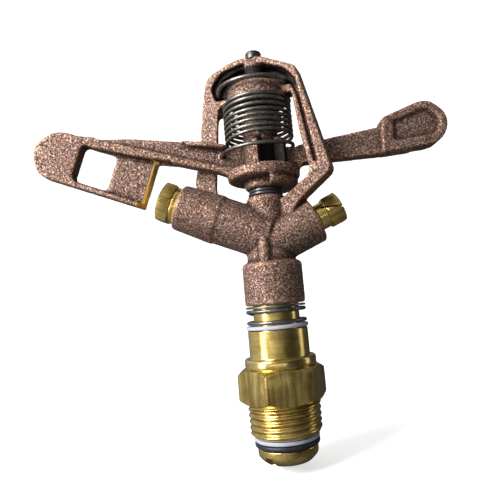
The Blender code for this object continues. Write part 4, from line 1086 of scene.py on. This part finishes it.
def make_pin(material):
    low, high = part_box("fulcrum_pin")
    outline = softened([
        (PIN_AXIS, low.z, 0.0), (PIN_RADIUS, low.z, 0.4 * MM), (PIN_RADIUS, PIN_HEAD_Z, 0.0),
        (PIN_HEAD, PIN_HEAD_Z, 0.2 * MM), (PIN_HEAD, high.z - 0.5 * MM, 0.7 * MM),
        (PIN_HEAD - 1.0 * MM, high.z, 0.6 * MM), (PIN_AXIS, high.z, 0.0),
    ])
    pin = lathe("fulcrum_pin_turned", outline, material, sides=64, solid=True)
    dress(pin, frame_body("fulcrum_pin"), "fulcrum_pin")


def make_bush(node, material, flange_low):
    """A bush with its flange at the lower or at the upper end."""
    low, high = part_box(node)
    soft = 0.25 * MM
    if flange_low:
        step = low.z + BUSH_FLANGE_THICK
        outline = [
            (BUSH_BORE, low.z, soft), (BUSH_FLANGE, low.z, soft), (BUSH_FLANGE, step, soft),
            (BUSH_SLEEVE, step, 0.0), (BUSH_SLEEVE, high.z, soft), (BUSH_BORE, high.z, soft),
        ]
    else:
        step = high.z - BUSH_FLANGE_THICK
        outline = [
            (BUSH_BORE, low.z, soft), (BUSH_SLEEVE, low.z, soft), (BUSH_SLEEVE, step, 0.0),
            (BUSH_FLANGE, step, soft), (BUSH_FLANGE, high.z, soft), (BUSH_BORE, high.z, soft),
        ]
    bush = lathe(node + "_turned", softened(outline), material, sides=64)
    dress(bush, frame_body(node), node)


# Camera, stage and light


def make_camera():
    data = bpy.data.cameras.new("camera")
    data.sensor_width = SENSOR_WIDTH
    data.lens = FOCAL_PX / PHOTO_SIZE * SENSOR_WIDTH
    data.shift_x = -ROLL_COS * AXIS_SHIFT_PX / PHOTO_SIZE
    data.shift_y = -ROLL_SIN * AXIS_SHIFT_PX / PHOTO_SIZE
    data.clip_start = 0.01
    data.clip_end = 20.0
    camera = bpy.data.objects.new("camera", data)
    level_right = Vector((1.0, 0.0, 0.0))
    level_up = Vector((0.0, -math.sin(PITCH), math.cos(PITCH)))
    right = ROLL_COS * level_right - ROLL_SIN * level_up
    up = ROLL_SIN * level_right + ROLL_COS * level_up
    back = right.cross(up)
    turn = Matrix((right, up, back)).transposed().to_4x4()
    camera.matrix_world = Matrix.Translation(CAMERA_PLACE) @ turn
    bpy.context.collection.objects.link(camera)
    bpy.context.scene.camera = camera


def make_stage():
    """A white sheet that curves up behind the object."""
    profile = [(SHEET_FRONT, FLOOR_Z), (SHEET_MIDDLE, FLOOR_Z), (SHEET_BEND, FLOOR_Z)]
    steps = 12
    for step in range(1, steps + 1):
        angle = math.pi / 2 * step / steps
        profile.append((
            SHEET_BEND + SHEET_BEND_RADIUS * math.sin(angle),
            FLOOR_Z + SHEET_BEND_RADIUS * (1 - math.cos(angle)),
        ))
    profile.append((SHEET_BEND + SHEET_BEND_RADIUS, SHEET_TOP))
    bm = bmesh.new()
    rows = []
    for x in (-SHEET_HALF_WIDTH, SHEET_HALF_WIDTH):
        rows.append([bm.verts.new((x, y, z)) for y, z in profile])
    for index in range(len(profile) - 1):
        bm.faces.new((rows[0][index], rows[1][index], rows[1][index + 1], rows[0][index + 1]))
    look = Look("backdrop_white", roughness=0.9)
    paper = look.noise(6.0, 2.0)
    look.feed(Base_Color=look.ramp(paper, [(0.3, 0.86), (0.7, 0.90)]))
    look.shader.inputs["Emission Color"].default_value = (1.0, 1.0, 1.0, 1.0)
    look.shader.inputs["Emission Strength"].default_value = SHEET_GLOW
    backdrop = add_piece("backdrop", bm, look.material)
    backdrop.visible_diffuse = False
    backdrop.visible_glossy = False


def area_light(name, place, target, size, power):
    data = bpy.data.lights.new(name, "AREA")
    data.shape = "RECTANGLE"
    data.size = size[0]
    data.size_y = size[1]
    data.energy = power
    light = bpy.data.objects.new(name, data)
    light.location = place
    way = Vector(target) - Vector(place)
    light.rotation_euler = way.to_track_quat("-Z", "Y").to_euler()
    bpy.context.collection.objects.link(light)


def facing(tree, place, way):
    """How far each direction of the sky points along a way, from -1 to 1."""
    node = tree.nodes.new("ShaderNodeVectorMath")
    node.operation = "DOT_PRODUCT"
    node.inputs[1].default_value = Vector(way).normalized()
    tree.links.new(place, node.inputs[0])
    return node.outputs["Value"]


def mapped(tree, value, **ends):
    """A value mapped from one range to another, where each end is 0 or 1 unless it is given."""
    node = tree.nodes.new("ShaderNodeMapRange")
    for name, end in ends.items():
        node.inputs[name.replace("_", " ")].default_value = end
    tree.links.new(value, node.inputs["Value"])
    return node.outputs["Result"]


def make_world(way, stops):
    """A soft studio: bright towards one side, dim away from it, with a glow from the floor."""
    world = bpy.data.worlds.new("studio")
    world.use_nodes = True
    tree = world.node_tree
    place = tree.nodes.new("ShaderNodeTexCoord").outputs["Generated"]
    sky = colour_ramp(tree, mapped(tree, facing(tree, place, way), From_Min=-1.0), stops)
    below = facing(tree, place, (-0.3, -0.5, -0.8))
    glow = mapped(tree, below, From_Min=0.3, To_Max=FLOOR_GLOW)
    add = tree.nodes.new("ShaderNodeMix")
    add.data_type = "RGBA"
    add.blend_type = "ADD"
    add.inputs["Factor"].default_value = 1.0
    first, second = colour_sockets(add.inputs)
    tree.links.new(sky, first)
    tree.links.new(glow, second)
    background = tree.nodes["Background"]
    tree.links.new(colour_sockets(add.outputs)[0], background.inputs["Color"])
    background.inputs["Strength"].default_value = 1.0
    bpy.context.scene.world = world


# Materials in use

bronze = cast_bronze()
turned_brass = brass(
    "turned_brass", marks=(300.0, 300.0, 6000.0), streaks=(60.0, 60.0, 500.0), streak_depth=0.18,
)
flat_brass = brass(
    "milled_brass", marks=(2500.0, 2500.0, 300.0), streaks=(650.0, 650.0, 45.0), streak_depth=0.42,
    dull=0.06,
)
spring_metal = steel("wire_steel", 0.50)
pin_metal = steel("pin_steel", 0.26)
white = plastic("washer_plastic", (0.34, 0.355, 0.43), (0.44, 0.455, 0.53), 0.42)
# Painted shade: the pale bushes and washers under the arm get a near-black colour for the hub's
# shadow they lie in.
painted_shade_plastic = plastic("bush_plastic_painted_shade", (0.03, 0.031, 0.036), (0.055, 0.057, 0.065), 0.26)
rubber = plastic("washer_rubber", (0.006, 0.006, 0.010), (0.018, 0.018, 0.026), 0.45)
grey = plastic("vane_plastic", (0.22, 0.23, 0.24), (0.32, 0.33, 0.34), 0.5)


# Camera, stage and light in use

make_camera()
make_stage()
make_world((-0.75, -0.10, 0.6), [
    (0.10, 0.09), (0.20, 0.07), (0.27, 0.045), (0.42, 0.13), (0.55, 0.19), (0.77, 0.52),
    (1.0, 0.85),
])
area_light(
    "key", place=(-0.30, -0.26, 0.24), target=(-0.01, 0.0, 0.07), size=(0.20, 0.20), power=3.1,
)
area_light(
    "strip", place=(-0.44, -0.25, 0.035), target=(0.0, 0.0, 0.035), size=(0.15, 0.19), power=0.72,
)
area_light(
    "rim", place=(0.55, 0.04, 0.12), target=(0.0, 0.0, 0.04), size=(0.14, 0.40), power=0.26,
)
area_light(
    "fill", place=(-0.10, -0.50, -0.005), target=(0.0, 0.0, 0.03), size=(0.55, 0.035), power=0.15,
)
bpy.context.scene.view_settings.view_transform = "Standard"


# Pieces

body = cast_piece(
    "body_cast", "body_casting", bronze, BODY_ROUNDS, body_milled, body_painted_shade, *bridge_hollow(),
)
dress(body, "head", "body_casting")
arm = cast_piece(
    "arm_cast", "arm_casting", bronze, ARM_ROUNDS, arm_milled, arm_painted_shade, [rim_fade()],
    [hook_plug()],
)
dress(arm, "arm", "arm_casting")
make_nipple(turned_brass, flat_brass)
make_tube(turned_brass)
ring_piece("lower_slip_washer", white, 0.35 * MM)
ring_piece("lower_rubber_washer", rubber, 0.6 * MM)
ring_piece("nipple_top_washer", white, 0.35 * MM)
ring_piece("spring_seat_washer", spring_metal, 0.25 * MM)
make_range_nozzle(turned_brass, flat_brass)
make_spreader_nozzle(turned_brass, flat_brass)
make_pin(pin_metal)
make_bush("arm_bush_lower", painted_shade_plastic, flange_low=True)
make_bush("arm_bush_upper", painted_shade_plastic, flange_low=False)
ring_piece("arm_washer_lower", painted_shade_plastic, 0.2 * MM)
ring_piece("arm_washer_upper", painted_shade_plastic, 0.2 * MM)

spring = sweep("arm_spring_wire", arm_spring_points(), ARM_SPRING_WIRE, spring_metal)
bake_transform(spring)
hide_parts("arm_spring")
spring = sweep("bearing_spring_wire", bearing_spring_points(), BEARING_SPRING_WIRE, spring_metal)
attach(spring, frame_body("bearing_spring"))
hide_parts("bearing_spring")
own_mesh(spring)
NODES["stream_vane"].data.materials.clear()
NODES["stream_vane"].data.materials.append(grey)
